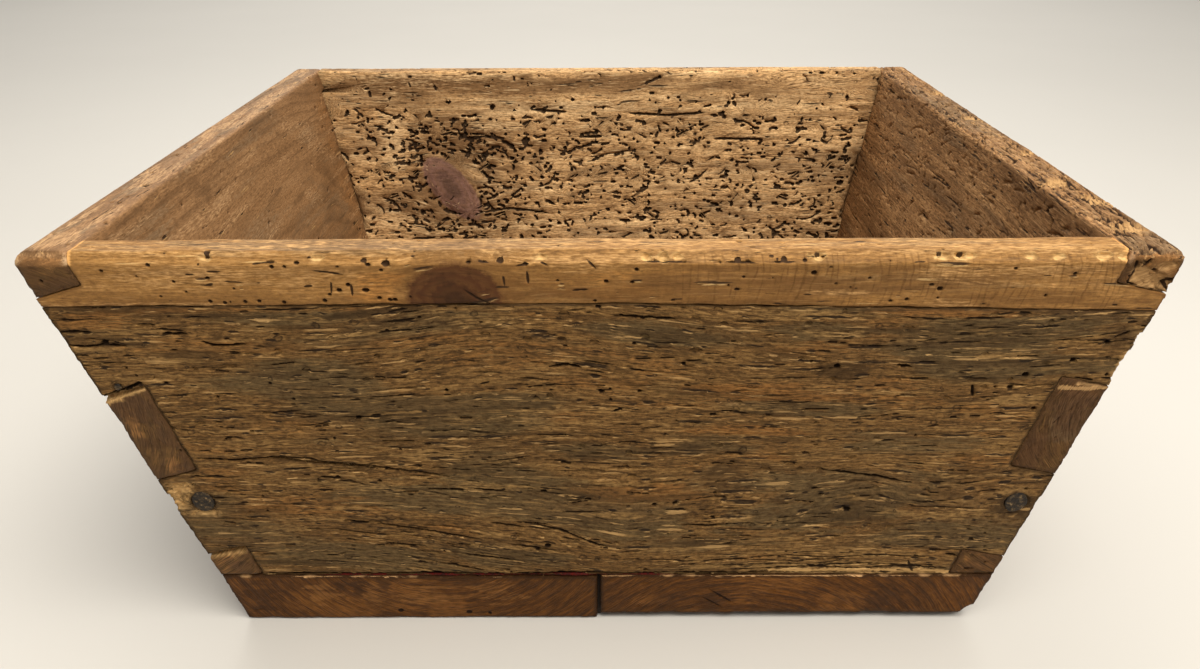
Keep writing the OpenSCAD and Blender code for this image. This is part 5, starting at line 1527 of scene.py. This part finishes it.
def make_seam_dirt():
    """Old flour and dirt, packed into the joint between the floor boards."""
    low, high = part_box("floor_board_left")[1][0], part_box("floor_board_right")[0][0]
    reach = HALF_W - HEIGHT * math.tan(LEAN_SIDE) - 3.0
    points, faces, steps = [], [], 60
    for i in range(steps + 1):
        y = reach * (2 * i / steps - 1)
        top = FLOOR_T - 1.6 + 0.7 * float(noise(y / 11.0, 3.5, 95))
        for x in (low, high):
            points += [(x, y * MM, 1.2 * MM), (x, y * MM, top * MM)]
        if i:
            a, b = 4 * (i - 1), 4 * i
            faces += [(a, b, b + 1, a + 1), (a + 2, a + 3, b + 3, b + 2), (a + 1, b + 1, b + 3, a + 3), (a, a + 2, b + 2, b)]
    faces += [(0, 1, 3, 2), (4 * steps, 4 * steps + 2, 4 * steps + 3, 4 * steps + 1)]
    mesh = bpy.data.meshes.new("floor_joint_dirt")
    mesh.from_pydata(points, [], faces)
    s = Shader("packed dirt")
    crumbs = s.noise(s.place(), detail=4, scale=900)
    s.put(s.surface.inputs["Base Color"], s.ramp(crumbs, ((0.35, paint(22, 15, 9)), (0.65, paint(52, 37, 22)))))
    s.surface.inputs["Roughness"].default_value = 0.95
    s.bump(crumbs, 0.0006, 0.8)
    mesh.materials.append(s.material)
    obj = bpy.data.objects.new("floor_joint_dirt", mesh)
    bpy.context.scene.collection.objects.link(obj)
    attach(obj, "root")


# Floor, lights and camera

def make_stage():
    side, parts = 5.0, 12
    points = [(side * (2 * i / parts - 1), side * (2 * j / parts - 1), 0.0) for j in range(parts + 1) for i in range(parts + 1)]
    faces = [(j * (parts + 1) + i, j * (parts + 1) + i + 1, (j + 1) * (parts + 1) + i + 1, (j + 1) * (parts + 1) + i)
             for j in range(parts) for i in range(parts)]
    mesh = bpy.data.meshes.new("studio_floor")
    mesh.from_pydata(points, [], faces)
    mesh.materials.append(plain_floor("studio floor", paint(206, 201, 192)))
    floor = bpy.data.objects.new("studio_floor", mesh)
    bpy.context.scene.collection.objects.link(floor)


def area_light(name, place, towards, wide, deep, power, colour):
    light = bpy.data.lights.new(name, "AREA")
    light.shape, light.size, light.size_y, light.energy, light.color = "RECTANGLE", wide, deep, power, colour
    obj = bpy.data.objects.new(name, light)
    obj.location = place
    aim = np.array(towards, float) - np.array(place, float)
    obj.rotation_mode = "QUATERNION"
    obj.rotation_quaternion = Vector(aim).to_track_quat("-Z", "Y")
    bpy.context.scene.collection.objects.link(obj)


def make_lights():
    area_light("key_above_right", (0.5, -0.8, 1.75), (0, 0.0, 0.15), 1.4, 1.1, 44, (1.0, 0.965, 0.91))
    area_light("over_and_behind", (-0.4, 0.8, 1.6), (0, 0.0, 0.15), 1.6, 1.2, 12, (1.0, 0.975, 0.94))
    area_light("far_floor", (0, 3.0, 2.4), (0, 2.6, 0), 4.0, 2.0, 70, (1.0, 0.985, 0.96))
    world = bpy.data.worlds.new("studio")
    bpy.context.scene.world = world
    world.use_nodes = True
    sky = world.node_tree.nodes["Background"]
    sky.inputs["Color"].default_value = (0.86, 0.85, 0.82, 1)
    sky.inputs["Strength"].default_value = 0.42
    bpy.context.scene.view_settings.view_transform = "Standard"


def make_camera():
    """The photograph's view: in millimetres and degrees, fitted to the box's corners."""
    place = (1.7, -619.2, 423.1)
    yaw, down, roll = math.radians(-0.187), math.radians(27.385), math.radians(-0.238)
    ahead = np.array((math.sin(yaw) * math.cos(down), math.cos(yaw) * math.cos(down), -math.sin(down)))
    level = np.array((math.cos(yaw), -math.sin(yaw), 0))
    upright = np.cross(level, ahead)
    right = math.cos(roll) * level + math.sin(roll) * upright
    up = math.cos(roll) * upright - math.sin(roll) * level
    data = bpy.data.cameras.new("photo_view")
    data.sensor_fit, data.sensor_width, data.lens = "HORIZONTAL", 36.0, 27.0
    data.clip_start, data.clip_end = 0.02, 40.0
    camera = bpy.data.objects.new("photo_view", data)
    rows = [[right[i], up[i], -ahead[i], place[i] * MM] for i in range(3)] + [[0, 0, 0, 1]]
    camera.matrix_world = Matrix(rows)
    bpy.context.scene.collection.objects.link(camera)
    bpy.context.scene.camera = camera


make_front_board()
make_rail()
make_back_board()
make_left_end()
make_right_end()
make_floor("floor_board_left", "floor_left_aged", -1, ((-95, 95), 6.5), 65)
make_floor("floor_board_right", "floor_right_aged", 1, ((92, -62), 7.0), 75)
iron = old_iron("forged iron")
forged("corner_nails", "corner_nails_forged", (FRONT, BACK), 0.4, 4.5, iron)
forged("small_nail", "small_nail_forged", (FRONT,), 0.3, 2.0, iron)
forged("floor_nails", "floor_nails_forged", (UNDERSIDE,), 0.55, 3.0, iron)
make_dowels()
make_paint_seam()
make_seam_dirt()
make_stage()
make_lights()
make_camera()
